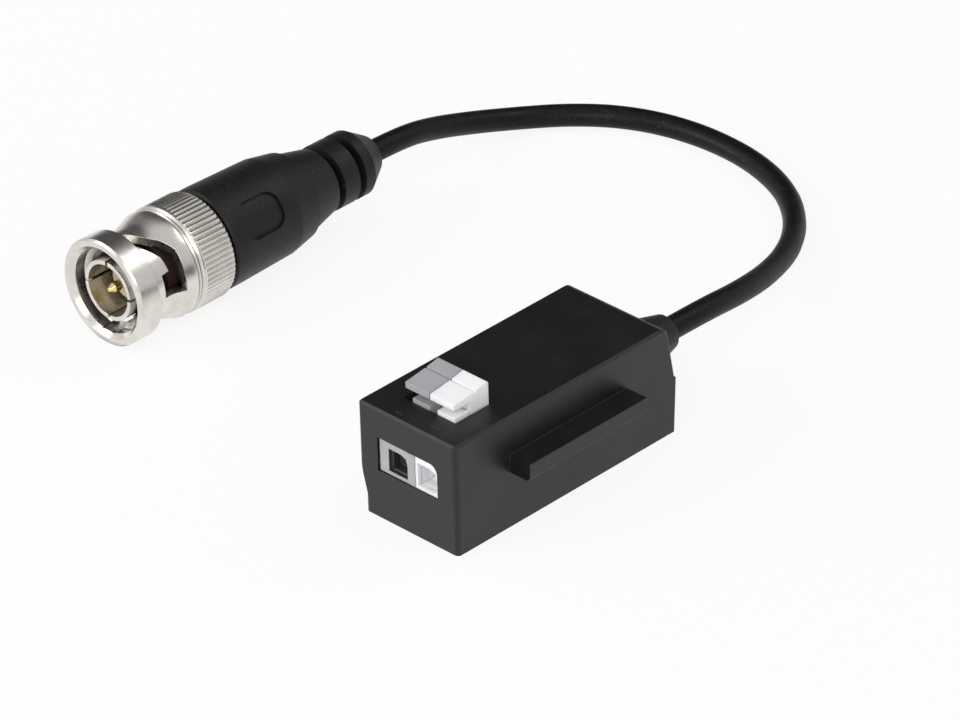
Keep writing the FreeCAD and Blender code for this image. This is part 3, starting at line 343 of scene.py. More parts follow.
class MouldGrain(Effect):
    """The fine spark-eroded grain of a mould, and the slow mottle of the plastic."""

    title = "mould_grain"
    inputs = (
        VECTOR,
        ("Grains per Metre", "NodeSocketFloat", 5000.0),
        ("Mottles per Metre", "NodeSocketFloat", 220.0),
    )
    outputs = (("Height", "NodeSocketFloat"), ("Mottle", "NodeSocketFloat"))
    mottled: Span = (0.32, 0.68)

    @classmethod
    def wire(cls, graph: Graph, given: Any, wanted: Any) -> None:
        """Add a noise at each of the two scales.

        Args:
            graph: the group's tree.
            given: the sockets of the group's inputs.
            wanted: the sockets of the group's outputs.
        """
        grain = graph.noise(given["Vector"], given["Grains per Metre"])
        mottle = graph.noise(given["Vector"], given["Mottles per Metre"], detail=4.0)
        graph.join(grain, wanted["Height"])
        graph.join(graph.spread(mottle, cls.mottled), wanted["Mottle"])


class RoundedEdge(Effect):
    """A normal that rounds sharp edges over, and a mask of where they are worn."""

    title = "rounded_edge"
    inputs = (
        VECTOR,
        ("Radius", "NodeSocketFloat", 0.1 * MM),
        ("Breaks per Metre", "NodeSocketFloat", 900.0),
    )
    outputs = (("Normal", "NodeSocketVector"), ("Wear", "NodeSocketFloat"))
    samples = 6
    bends: Span = (0.02, 0.25)
    broken: Span = (0.35, 0.65)

    @classmethod
    def wire(cls, graph: Graph, given: Any, wanted: Any) -> None:
        """Compare the rounded normal with the plain one, and break the line up.

        Args:
            graph: the group's tree.
            given: the sockets of the group's inputs.
            wanted: the sockets of the group's outputs.
        """
        rounded = graph.node("ShaderNodeBevel", samples=cls.samples)
        graph.join(given["Radius"], rounded.inputs["Radius"])
        surface = graph.node("ShaderNodeNewGeometry")
        agree = graph.vectors("DOT_PRODUCT", rounded.outputs["Normal"], surface.outputs["Normal"])
        bend = graph.spread(graph.math("SUBTRACT", 1.0, agree), cls.bends)
        breaks = graph.noise(given["Vector"], given["Breaks per Metre"], detail=3.0)
        graph.join(rounded.outputs["Normal"], wanted["Normal"])
        graph.join(graph.math("MULTIPLY", bend, graph.spread(breaks, cls.broken)), wanted["Wear"])


class TurnedMarks(Effect):
    """The rings that a lathe tool leaves about the plug's axis, and slow bands of tone."""

    title = "turned_marks"
    inputs = (VECTOR, ("Rings per Metre", "NodeSocketFloat", 9000.0))
    outputs = (("Height", "NodeSocketFloat"), ("Band", "NodeSocketFloat"))
    bands_per_metre = 420.0
    banded: Span = (0.35, 0.65)

    @classmethod
    def wire(cls, graph: Graph, given: Any, wanted: Any) -> None:
        """Lay a noise over the distance along the axis and the distance from it.

        Args:
            graph: the group's tree.
            given: the sockets of the group's inputs.
            wanted: the sockets of the group's outputs.
        """
        parts = graph.apart(given["Vector"])
        across = graph.math("POWER", parts["X"], 2.0)
        upward = graph.math("POWER", parts["Z"], 2.0)
        away = graph.math("SQRT", graph.math("ADD", across, upward))
        rings = graph.noise(graph.together(parts["Y"], away), given["Rings per Metre"], detail=3.0,
                            dimensions="2D")
        bands = graph.noise(given["Vector"], cls.bands_per_metre, detail=3.0)
        graph.join(rings, wanted["Height"])
        graph.join(graph.spread(bands, cls.banded), wanted["Band"])


class Scuffs(Effect):
    """Thin short scratches in two directions."""

    title = "scuffs"
    inputs = (VECTOR, ("Per Metre", "NodeSocketFloat", 260.0))
    outputs = (("Mask", "NodeSocketFloat"),)
    tilt: Pair = (0.4, 0.3)
    directions: Pair = (0.5, 2.1)
    stretch: Point = (1.0, 34.0, 9.0)
    first_seed = 3.0
    peaks: Span = (0.66, 0.72)

    @classmethod
    def wire(cls, graph: Graph, given: Any, wanted: Any) -> None:
        """Keep the peaks of noises that are stretched along a line each.

        Args:
            graph: the group's tree.
            given: the sockets of the group's inputs.
            wanted: the sockets of the group's outputs.
        """
        lines = []
        for number, direction in enumerate(cls.directions):
            turned = graph.node("ShaderNodeMapping", vector_type="POINT")
            turned.inputs["Rotation"].default_value = (*cls.tilt, direction)
            turned.inputs["Scale"].default_value = cls.stretch
            graph.join(given["Vector"], turned.inputs["Vector"])
            noise = graph.noise(turned.outputs["Vector"], given["Per Metre"], detail=1.0,
                                dimensions="4D", seed=cls.first_seed + number)
            lines.append(graph.spread(noise, cls.peaks))
        graph.join(graph.math("MAXIMUM", *lines), wanted["Mask"])


class RecessShade(Effect):
    """Painted shade: a mask of where ambient occlusion finds the surroundings close, so that plating
    is painted dark there.
    """

    title = "recess_grime"
    inputs = (("Reach", "NodeSocketFloat", 1.5 * MM),)
    outputs = (("Mask", "NodeSocketFloat"),)
    samples = 8
    closed_in: Span = (0.84, 0.45)

    @classmethod
    def wire(cls, graph: Graph, given: Any, wanted: Any) -> None:
        """Find how much of the surroundings lies within reach.

        Args:
            graph: the group's tree.
            given: the sockets of the group's inputs.
            wanted: the sockets of the group's outputs.
        """
        # Painted shade: how closed in a point is decides how dark its colour is painted.
        openness = graph.node("ShaderNodeAmbientOcclusion", samples=cls.samples)
        graph.join(given["Reach"], openness.inputs["Distance"])
        graph.join(graph.spread(openness.outputs["AO"], cls.closed_in), wanted["Mask"])


class FineDust(Effect):
    """A few pale specks on what faces up."""

    title = "fine_dust"
    inputs = (
        VECTOR,
        ("Specks per Metre", "NodeSocketFloat", 900.0),
        ("Speck", "NodeSocketFloat", 0.10),
    )
    outputs = (("Mask", "NodeSocketFloat"),)
    patches_per_metre = 160.0
    patchy: Span = (0.48, 0.62)
    facing_up: Span = (0.4, 0.9)

    @classmethod
    def wire(cls, graph: Graph, given: Any, wanted: Any) -> None:
        """Thin small cells by a slow noise and by the surface's slope.

        Args:
            graph: the group's tree.
            given: the sockets of the group's inputs.
            wanted: the sockets of the group's outputs.
        """
        cells = graph.node("ShaderNodeTexVoronoi", feature="F1", voronoi_dimensions="3D")
        graph.join(given["Vector"], cells.inputs["Vector"])
        graph.join(given["Specks per Metre"], cells.inputs["Scale"])
        speck = graph.math("LESS_THAN", cells.outputs["Distance"], given["Speck"])
        cover = graph.spread(graph.noise(given["Vector"], cls.patches_per_metre), cls.patchy)
        surface = graph.node("ShaderNodeNewGeometry")
        upward = graph.spread(graph.apart(surface.outputs["Normal"])["Z"], cls.facing_up)
        thinned = graph.math("MULTIPLY", speck, cover)
        graph.join(graph.math("MULTIPLY", thinned, upward), wanted["Mask"])


def opaque(colour: Colour) -> tuple[float, float, float, float]:
    """The colour with full alpha."""
    return (*colour, 1.0)


def blank_material(name: str) -> tuple[bpy.types.Material, Graph]:
    """Start a material with an empty tree.

    Args:
        name: the material's name.

    Returns:
        The material, and the graph of its tree.
    """
    material = bpy.data.materials.new(name)
    material.use_nodes = True
    material.node_tree.nodes.clear()
    return material, Graph(material.node_tree)


@dataclass(frozen=True)
class Finish:
    """What one material looks like. Colours are linear.

    Attributes:
        slot: the record's material slot.
        colour: the base colour.
        shade: the second tone of the base colour.
        roughness: the lowest and highest roughness.
        axis: where the pattern's axes come from.
    """

    slot: str
    colour: Colour
    shade: Colour
    roughness: Span
    axis: Axis = Axis.PART

    def build(self) -> bpy.types.Material:
        """Make the material.

        Returns:
            The material, named as its slot.
        """
        material, graph = blank_material(self.slot)
        shader = graph.node("ShaderNodeBsdfPrincipled")
        output = graph.node("ShaderNodeOutputMaterial")
        graph.join(shader.outputs["BSDF"], output.inputs["Surface"])
        self.dress(graph, shader.inputs, self.coordinates(graph))
        return material

    def coordinates(self, graph: Graph) -> Socket:
        """Find where a pattern starts from.

        Args:
            graph: the material's tree.

        Returns:
            The part's own coordinates, or those of the plug.
        """
        source = graph.node("ShaderNodeTexCoord")
        if self.axis is Axis.PART:
            return source.outputs["Object"]
        centred = graph.node("ShaderNodeMapping", vector_type="TEXTURE")
        centred.inputs["Location"].default_value = PLUG_MOUTH
        graph.join(source.outputs["Object"], centred.inputs["Vector"])
        return centred.outputs["Vector"]

    def tone(self, graph: Graph, mask: Socket) -> Socket:
        """The base colour, between its two tones."""
        return graph.blend(mask, opaque(self.colour), opaque(self.shade))

    def rough(self, graph: Graph, mask: Socket) -> Socket:
        """The roughness, between its lowest and highest."""
        return graph.spread(mask, WHOLE, *self.roughness)

    def dress(self, graph: Graph, shader: Any, vector: Socket) -> None:
        """Wire the finish.

        Args:
            graph: the material's tree.
            shader: the inputs of the Principled BSDF.
            vector: the coordinates of the pattern.
        """
        raise NotImplementedError


@dataclass(frozen=True)
class MouldedPlastic(Finish):
    """Satin moulded plastic with a fine grain, worn edges and a little dust.

    Attributes:
        worn: the colour of a worn edge.
        wear: how much of the worn colour shows.
        edge: the radius that rounds an edge over.
        grain_depth: the height of the grain.
        grains_per_metre: how fine the grain is.
        dust: how pale the specks are.
        dust_colour: their own colour.
        dust_rough: how much a full speck adds to the roughness.
        translucence: how much light passes through thin walls.
        light_depth: how far that light reaches.
        light_tint: how far it reaches for red, green and blue.
    """

    worn: Colour = (0.95, 0.95, 0.95)
    wear: float = 0.5
    edge: float = 0.12 * MM
    grain_depth: float = 0.006 * MM
    grains_per_metre: float = 4200.0
    dust: float = 0.25
    dust_colour: Colour = (0.55, 0.54, 0.52)
    dust_rough: float = 0.4
    translucence: float = 0.0
    light_depth: float = 0.8 * MM
    light_tint: Colour = (1.0, 0.95, 0.9)

    def dress(self, graph: Graph, shader: Any, vector: Socket) -> None:
        """Wire grain, edges, dust and light that passes through.

        Args:
            graph: the material's tree.
            shader: the inputs of the Principled BSDF.
            vector: the coordinates of the pattern.
        """
        grain = MouldGrain.place(graph, Vector=vector, Grains_per_Metre=self.grains_per_metre)
        edge = RoundedEdge.place(graph, Vector=vector, Radius=self.edge)
        dust = FineDust.place(graph, Vector=vector)
        wear = graph.math("MULTIPLY", edge["Wear"], self.wear)
        worn = graph.blend(wear, self.tone(graph, grain["Mottle"]), opaque(self.worn))
        speck = graph.math("MULTIPLY", dust["Mask"], self.dust)
        graph.join(graph.blend(speck, worn, opaque(self.dust_colour)), shader["Base Color"])
        dulled = graph.math("MULTIPLY", speck, self.dust_rough)
        rough = self.rough(graph, grain["Mottle"])
        graph.join(graph.math("ADD", rough, dulled), shader["Roughness"])
        normal = graph.bump(grain["Height"], self.grain_depth, edge["Normal"])
        graph.join(normal, shader["Normal"])
        if self.translucence:
            shader["Subsurface Weight"].default_value = self.translucence
            shader["Subsurface Radius"].default_value = self.light_tint
            shader["Subsurface Scale"].default_value = self.light_depth


@dataclass(frozen=True)
class TurnedMetal(Finish):
    """Plated metal with turning rings, a warm cast, fine scuffs, and painted shade that darkens its
    recesses.

    Attributes:
        edge: the radius that rounds an edge over.
        ring_depth: the height of the turning rings.
        rings_per_metre: how fine the rings are.
        scuffed: the roughness of a scuff.
        recess_shade_colour: the painted shade colour in deep recesses.
        recess_shade_amount: how much of that painted shade shows.
    """

    edge: float = 0.08 * MM
    ring_depth: float = 0.0012 * MM
    rings_per_metre: float = 9000.0
    scuffed: float = 0.42
    recess_shade_colour: Colour = (0.07, 0.058, 0.048)
    recess_shade_amount: float = 0.9

    def dress(self, graph: Graph, shader: Any, vector: Socket) -> None:
        """Wire rings, bands, scuffs, painted recess shade and rounded edges.

        Args:
            graph: the material's tree.
            shader: the inputs of the Principled BSDF.
            vector: the coordinates of the pattern.
        """
        marks = TurnedMarks.place(graph, Vector=vector, Rings_per_Metre=self.rings_per_metre)
        edge = RoundedEdge.place(graph, Vector=vector, Radius=self.edge)
        scuffs = Scuffs.place(graph, Vector=vector)
        # Painted shade: the base colour darkens where ambient occlusion finds a recess.
        recess_shade_mask = graph.math("MULTIPLY", RecessShade.place(graph)["Mask"], self.recess_shade_amount)
        plating = self.tone(graph, marks["Band"])
        graph.join(graph.blend(recess_shade_mask, plating, opaque(self.recess_shade_colour)), shader["Base Color"])
        shader["Metallic"].default_value = 1.0
        scuffed = graph.math("MULTIPLY", scuffs["Mask"], self.scuffed - self.roughness[0])
        rough = self.rough(graph, marks["Band"])
        graph.join(graph.math("ADD", rough, scuffed), shader["Roughness"])
        graph.join(graph.bump(marks["Height"], self.ring_depth, edge["Normal"]), shader["Normal"])


@dataclass(frozen=True)
class SoftJacket(Finish):
    """Soft rubber or vinyl with a faint skin, and a sheen where it turns away.

    Attributes:
        skin_depth: the height of the skin's grain.
        grains_per_metre: how fine the skin is.
        sheen: the weight of the sheen.
        sheen_rough: the roughness of the sheen.
        gloss: the level of the mirrored light, where 0.5 is plain.
        marked: the colour of dust and scuffs.
        dust: how much of it a speck shows.
        scuff: how much of it a scuff shows.
    """

    skin_depth: float = 0.008 * MM
    grains_per_metre: float = 2600.0
    sheen: float = 0.0
    sheen_rough: float = 0.4
    gloss: float = 0.3
    marked: Colour = (0.4, 0.4, 0.4)
    dust: float = 0.2
    scuff: float = 0.06

    def dress(self, graph: Graph, shader: Any, vector: Socket) -> None:
        """Wire the skin, the dust, the scuffs and the sheen.

        Args:
            graph: the material's tree.
            shader: the inputs of the Principled BSDF.
            vector: the coordinates of the pattern.
        """
        grain = MouldGrain.place(graph, Vector=vector, Grains_per_Metre=self.grains_per_metre)
        dust = FineDust.place(graph, Vector=vector)
        scuffs = Scuffs.place(graph, Vector=vector)
        marks = graph.math("MAXIMUM", graph.math("MULTIPLY", dust["Mask"], self.dust),
                           graph.math("MULTIPLY", scuffs["Mask"], self.scuff))
        tone = self.tone(graph, grain["Mottle"])
        graph.join(graph.blend(marks, tone, opaque(self.marked)), shader["Base Color"])
        rough = self.rough(graph, grain["Mottle"])
        graph.join(graph.math("ADD", rough, marks), shader["Roughness"])
        shader["Sheen Weight"].default_value = self.sheen
        shader["Sheen Roughness"].default_value = self.sheen_rough
        shader["Specular IOR Level"].default_value = self.gloss
        graph.join(graph.bump(grain["Height"], self.skin_depth), shader["Normal"])


@dataclass(frozen=True)
class PlainPart(Finish):
    """Inner pieces: a mottled tone and a fine grain, metal or not.

    Attributes:
        metallic: 1 for metal and 0 for the rest.
        grain_depth: the height of the grain.
        grains_per_metre: how fine the grain is.
        mottles_per_metre: how fine the mottle is.
    """

    metallic: float = 0.0
    grain_depth: float = 0.005 * MM
    grains_per_metre: float = 5000.0
    mottles_per_metre: float = 700.0

    def dress(self, graph: Graph, shader: Any, vector: Socket) -> None:
        """Wire the two tones, the roughness and the grain.

        Args:
            graph: the material's tree.
            shader: the inputs of the Principled BSDF.
            vector: the coordinates of the pattern.
        """
        grain = MouldGrain.place(graph, Vector=vector, Grains_per_Metre=self.grains_per_metre,
                                 Mottles_per_Metre=self.mottles_per_metre)
        graph.join(self.tone(graph, grain["Mottle"]), shader["Base Color"])
        graph.join(self.rough(graph, grain["Mottle"]), shader["Roughness"])
        shader["Metallic"].default_value = self.metallic
        graph.join(graph.bump(grain["Height"], self.grain_depth), shader["Normal"])


FINISHES: tuple[Finish, ...] = (
    MouldedPlastic("shell_black", (0.0042, 0.0036, 0.0046), (0.0056, 0.0050, 0.0060), (0.40, 0.48),
                   worn=(0.060, 0.058, 0.062), dust=0.03),
    MouldedPlastic("terminal_grey", (0.35, 0.34, 0.36), (0.39, 0.38, 0.40), (0.36, 0.44),
                   worn=(0.60, 0.59, 0.61), grain_depth=0.003 * MM),
    MouldedPlastic("terminal_white", (0.88, 0.87, 0.89), (0.92, 0.91, 0.93), (0.32, 0.40),
                   grain_depth=0.003 * MM, dust=0.0, translucence=0.5),
    PlainPart("board_green", (0.02, 0.16, 0.06), (0.03, 0.20, 0.08), (0.30, 0.42)),
    PlainPart("spring_steel", (0.56, 0.55, 0.54), (0.62, 0.61, 0.60), (0.22, 0.34), metallic=1.0),
    PlainPart("tinned_brass", (0.70, 0.69, 0.64), (0.76, 0.75, 0.70), (0.25, 0.40), metallic=1.0),
    PlainPart("ferrite", (0.05, 0.048, 0.047), (0.08, 0.077, 0.075), (0.55, 0.75),
              grain_depth=0.02 * MM),
    PlainPart("copper_wire", (0.70, 0.24, 0.08), (0.80, 0.32, 0.12), (0.18, 0.30), metallic=1.0),
    PlainPart("component_black", (0.02, 0.02, 0.02), (0.03, 0.03, 0.03), (0.40, 0.55)),
    SoftJacket("rubber_black", (0.0044, 0.0044, 0.0050), (0.0064, 0.0064, 0.0072), (0.46, 0.56),
               sheen=0.02),
    SoftJacket("cable_jacket", (0.0030, 0.0030, 0.0034), (0.0042, 0.0042, 0.0047), (0.40, 0.50),
               skin_depth=0.004 * MM, gloss=0.18),
    TurnedMetal("nickel", (0.78, 0.75, 0.71), (0.70, 0.66, 0.61), (0.22, 0.31), axis=Axis.PLUG,
                ring_depth=0.0007 * MM),
    PlainPart("plug_insulator", (0.44, 0.39, 0.24), (0.50, 0.45, 0.30), (0.35, 0.5)),
    TurnedMetal("gold_pin", (0.90, 0.68, 0.28), (0.96, 0.78, 0.42), (0.14, 0.22), axis=Axis.PLUG),
    SoftJacket("gasket_rubber", (0.014, 0.0025, 0.002), (0.022, 0.004, 0.003), (0.5, 0.65)),
)


def linked(name: str, data: bpy.types.ID) -> bpy.types.Object:
    """Put an object into the scene at the origin.

    Args:
        name: the object's name.
        data: its mesh, curve, lamp or camera.

    Returns:
        The object.
    """
    made = bpy.data.objects.new(name, data)
    bpy.context.scene.collection.objects.link(made)
    return made


def shaped(name: str, mesh: bmesh.types.BMesh) -> bpy.types.Object:
    """Put a finished mesh into the scene and free its working copy.

    Args:
        name: the name of the object and of its mesh.
        mesh: the finished mesh.

    Returns:
        The object.
    """
    data = bpy.data.meshes.new(name)
    mesh.to_mesh(data)
    mesh.free()
    return linked(name, data)


class Wardrobe:
    """The materials of the part, each under its slot."""

    def __init__(self) -> None:
        """Build every finish once."""
        self.materials = {finish.slot: finish.build() for finish in FINISHES}

    def dress_nodes(self, frame: dict[str, Any]) -> None:
        """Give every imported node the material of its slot.

        Args:
            frame: what the frame's load gave.
        """
        for entry in frame["record"]["subparts"]:
            node = frame["nodes"][entry["node"]]
            node.data.materials.clear()
            node.data.materials.append(self.materials[entry["material_slot"]])

    def settle(self, piece: bpy.types.Object, slot: str, body: Body = Body.HOUSING,
               node: str | None = None) -> None:
        """Dress a piece, let it ride on a body and hide the node that it stands for.

        Args:
            piece: the piece of the scene.
            slot: its material slot.
            body: the body that it rides on.
            node: the node that it replaces, if any.
        """
        piece.data.materials.clear()
        piece.data.materials.append(self.materials[slot])
        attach(piece, body.value)
        if node:
            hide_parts(node)
        LOG.info("%s: %s, rides on %s", piece.name, slot, body.value)


GEOMETRY = ("Geometry", "NodeSocketGeometry", None)
MATERIAL = ("Material", "NodeSocketMaterial", None)


class Recipe(NodeGroup):
    """A Geometry Nodes tree with named sizes, which is run once into a plain mesh."""

    kind = "GeometryNodeTree"
    outputs = (("Geometry", "NodeSocketGeometry"),)
    tube_sides = 8

    @classmethod
    def wire(cls, graph: Graph, given: Any, wanted: Any) -> None:
        """Make the shape smooth, real and dressed at the end of the tree.

        Args:
            graph: the tree.
            given: the sockets of its inputs.
            wanted: the sockets of its outputs.
        """
        smooth = graph.node("GeometryNodeSetShadeSmooth")
        graph.join(cls.shape(graph, given), smooth.inputs["Geometry"])
        real = graph.node("GeometryNodeRealizeInstances")
        graph.join(smooth.outputs["Geometry"], real.inputs["Geometry"])
        dressed = graph.node("GeometryNodeSetMaterial")
        graph.join(real.outputs["Geometry"], dressed.inputs["Geometry"])
        graph.join(given["Material"], dressed.inputs["Material"])
        graph.join(dressed.outputs["Geometry"], wanted["Geometry"])

    @classmethod
    def shape(cls, graph: Graph, given: Any) -> Socket:
        """Build the shape.

        Args:
            graph: the tree.
            given: the sockets of its inputs.

        Returns:
            The socket of the shape.
        """
        raise NotImplementedError

    @classmethod
    def run(cls, name: str, start: bpy.types.ID, **values: Any) -> bpy.types.Object:
        """Run the tree on a mesh or a curve.

        Args:
            name: the name of the piece.
            start: the mesh or curve that the tree starts from.
            values: what each input gets, with spaces in its name as underscores.

        Returns:
            The piece, with a plain mesh.
        """
        holder = linked(f"{name}_start", start)
        modifier = holder.modifiers.new(cls.title, "NODES")
        modifier.node_group = cls.tree()
        for item in modifier.node_group.interface.items_tree:
            key = item.name.replace(" ", "_")
            if item.in_out == "INPUT" and key in values:
                modifier[item.identifier] = values[key]
        ready = holder.evaluated_get(bpy.context.evaluated_depsgraph_get())
        mesh = bpy.data.meshes.new_from_object(ready)
        mesh.name = name
        holder.modifiers.remove(modifier)
        bpy.data.objects.remove(holder)
        return linked(name, mesh)

    @classmethod
    def tube(cls, graph: Graph, curve: Socket, radius: Socket) -> Socket:
        """Give a curve a round section.

        Args:
            graph: the tree.
            curve: the socket of the curve.
            radius: the socket of the radius.

        Returns:
            The socket of the closed tube.
        """
        ring = graph.node("GeometryNodeCurvePrimitiveCircle", mode="RADIUS")
        ring.inputs["Resolution"].default_value = cls.tube_sides
        graph.join(radius, ring.inputs["Radius"])
        swept = graph.node("GeometryNodeCurveToMesh")
        graph.join(curve, swept.inputs["Curve"])
        graph.join(ring.outputs["Curve"], swept.inputs["Profile Curve"])
        swept.inputs["Fill Caps"].default_value = True
        return swept.outputs["Mesh"]

    @staticmethod
    def resample(graph: Graph, curve: Socket, count: Socket) -> Socket:
        """Divide a curve evenly.

        Args:
            graph: the tree.
            curve: the socket of the curve.
            count: the socket of the number of points.

        Returns:
            The socket of the divided curve.
        """
        steps = graph.node("GeometryNodeResampleCurve", mode="COUNT")
        graph.join(curve, steps.inputs["Curve"])
        graph.join(count, steps.inputs["Count"])
        return steps.outputs["Curve"]


class RingWinding(Recipe):
    """Wires side by side that wind round a ring core of square section."""

    title = "ring_winding"
    inputs = (
        GEOMETRY,
        ("Turns", "NodeSocketInt", 14),
        ("Steps per Turn", "NodeSocketInt", 24),
        ("Start", "NodeSocketFloat", 0.0),
        ("Arc", "NodeSocketFloat", 5.0),
        ("Outer Radius", "NodeSocketFloat", 5.0 * MM),
        ("Inner Radius", "NodeSocketFloat", 2.0 * MM),
        ("Low", "NodeSocketFloat", 0.0),
        ("High", "NodeSocketFloat", 4.0 * MM),
        ("Middle", "NodeSocketVector", None),
        ("Wire Radius", "NodeSocketFloat", 0.15 * MM),
        ("Wire Spread", "NodeSocketFloat", 0.08),
        MATERIAL,
    )
    squareness = 0.4
    first_turn = math.radians(-45.0)
    wires: Pair = (-0.5, 0.5)

    @classmethod
    def shape(cls, graph: Graph, given: Any) -> Socket:
        """Bend a straight line into each wire's winding.

        Args:
            graph: the tree.
            given: the sockets of its inputs.

        Returns:
            The socket of both wires.
        """
        count = graph.math("MULTIPLY", given["Turns"], given["Steps per Turn"])
        count = graph.math("ADD", count, 1.0)
        both = graph.node("GeometryNodeJoinGeometry")
        for side in cls.wires:
            line = graph.node("GeometryNodeCurvePrimitiveLine").outputs["Curve"]
            bent = graph.node("GeometryNodeSetPosition")
            graph.join(cls.resample(graph, line, count), bent.inputs["Geometry"])
            graph.join(cls.place(graph, given, side), bent.inputs["Position"])
            wire = cls.tube(graph, bent.outputs["Geometry"], given["Wire Radius"])
            graph.join(wire, both.inputs["Geometry"])
        return both.outputs["Geometry"]

    @classmethod
    def place(cls, graph: Graph, given: Any, side: float) -> Socket:
        """Find where a point of a wire goes.

        Args:
            graph: the tree.
            given: the sockets of its inputs.
            side: which side of the middle the wire lies on.

        Returns:
            The socket of the position.
        """
        share = graph.node("GeometryNodeSplineParameter").outputs["Factor"]
        round_core = graph.math("ADD", graph.math("MULTIPLY", share, given["Arc"]), given["Start"])
        aside = graph.math("MULTIPLY", given["Wire Spread"], side)
        round_core = graph.math("ADD", round_core, aside)
        turned = graph.math("MULTIPLY", graph.math("MULTIPLY", share, given["Turns"]), math.tau)
        turned = graph.math("ADD", turned, cls.first_turn)
        out = cls.swing(graph, given["Inner Radius"], given["Outer Radius"], "COSINE", turned)
        rise = cls.swing(graph, given["Low"], given["High"], "SINE", turned)
        across = graph.math("MULTIPLY", out, graph.math("COSINE", round_core))
        along = graph.math("MULTIPLY", out, graph.math("SINE", round_core))
        return graph.vectors("ADD", graph.together(across, along, rise), given["Middle"])

    @classmethod
    def swing(cls, graph: Graph, least: Socket, most: Socket, wave: str, turned: Socket) -> Socket:
        """Go from one limit to the other and back, and stay near both, for a turn's square corners.

        Args:
            graph: the tree.
            least: the lower limit.
            most: the upper limit.
            wave: the Math node's operation that swings.
            turned: how far the wire has turned.

        Returns:
            The socket of the value between the limits.
        """
        half = graph.math("MULTIPLY", graph.math("SUBTRACT", most, least), 0.5)
        plain = graph.math(wave, turned)
        size = graph.math("POWER", graph.math("ABSOLUTE", plain), cls.squareness)
        squared = graph.math("MULTIPLY", graph.math("SIGN", plain), size)
        return graph.math("ADD", graph.math("ADD", least, half), graph.math("MULTIPLY", half, squared))


class TwistedStrands(Recipe):
    """Bare strands that are twisted round each other along a path."""

    title = "twisted_strands"
    inputs = (
        GEOMETRY,
        ("Strands", "NodeSocketInt", 6),
        ("Strand Radius", "NodeSocketFloat", 0.2 * MM),
        ("Lay Radius", "NodeSocketFloat", 0.4 * MM),
        ("Twists", "NodeSocketFloat", 2.0),
        ("Steps", "NodeSocketInt", 60),
        MATERIAL,
    )

    @classmethod
    def shape(cls, graph: Graph, given: Any) -> Socket:
        """Copy the path for each strand and turn the copies round it.

        Args:
            graph: the tree.
            given: the sockets of its inputs.

        Returns:
            The socket of the strands.
        """
        copies = graph.node("GeometryNodeDuplicateElements", domain="SPLINE")
        path = cls.resample(graph, given["Geometry"], given["Steps"])
        graph.join(path, copies.inputs["Geometry"])
        graph.join(given["Strands"], copies.inputs["Amount"])
        share = graph.node("GeometryNodeSplineParameter").outputs["Factor"]
        place = graph.math("DIVIDE", copies.outputs["Duplicate Index"], given["Strands"])
        turn = graph.math("ADD", place, graph.math("MULTIPLY", share, given["Twists"]))
        turn = graph.math("MULTIPLY", turn, math.tau)
        across = graph.node("GeometryNodeInputNormal").outputs["Normal"]
        along = graph.node("GeometryNodeInputTangent").outputs["Tangent"]
        upward = graph.vectors("CROSS_PRODUCT", along, across)
        parts = []
        for wave, way in (("COSINE", across), ("SINE", upward)):
            part = graph.node("ShaderNodeVectorMath", operation="SCALE")
            graph.join(way, part.inputs["Vector"])
            reach = graph.math("MULTIPLY", graph.math(wave, turn), given["Lay Radius"])
            graph.join(reach, part.inputs["Scale"])
            parts.append(part.outputs["Vector"])
        moved = graph.node("GeometryNodeSetPosition")
        graph.join(copies.outputs["Geometry"], moved.inputs["Geometry"])
        graph.join(graph.vectors("ADD", *parts), moved.inputs["Offset"])
        return cls.tube(graph, moved.outputs["Geometry"], given["Strand Radius"])


class SolderDomes(Recipe):
    """A flat dome of solder on each point, as wide as the point's own reach says."""

    title = "solder_domes"
    inputs = (GEOMETRY, ("Flatness", "NodeSocketFloat", 0.45), MATERIAL)
    segments = 16
    rings = 8

    @classmethod
    def shape(cls, graph: Graph, given: Any) -> Socket:
        """Put one dome on each point.

        Args:
            graph: the tree.
            given: the sockets of its inputs.

        Returns:
            The socket of the domes.
        """
        dome = graph.node("GeometryNodeMeshUVSphere")
        dome.inputs["Segments"].default_value = cls.segments
        dome.inputs["Rings"].default_value = cls.rings
        dome.inputs["Radius"].default_value = 1.0
        named = graph.node("GeometryNodeInputNamedAttribute", data_type="FLOAT")
        named.inputs["Name"].default_value = "reach"
        reach = named.outputs["Attribute"]
        size = graph.together(reach, reach, graph.math("MULTIPLY", reach, given["Flatness"]))
        domes = graph.node("GeometryNodeInstanceOnPoints")
        graph.join(given["Geometry"], domes.inputs["Points"])
        graph.join(dome.outputs["Mesh"], domes.inputs["Instance"])
        graph.join(size, domes.inputs["Scale"])
        return domes.outputs["Instances"]


def smooth_path(name: str, route: tuple[Point, ...]) -> bpy.types.Curve:
    """Make a smooth open curve that is pulled by its route's points.

    Args:
        name: the curve's name.
        route: the points.

    Returns:
        The curve, with no thickness.
    """
    curve = bpy.data.curves.new(name, "CURVE")
    curve.dimensions = "3D"
    spline = curve.splines.new("NURBS")
    spline.points.add(len(route) - 1)
    for point, place in zip(spline.points, route):
        point.co = (*place, 1.0)
    spline.order_u = 3
    spline.use_endpoint_u = True
    return curve


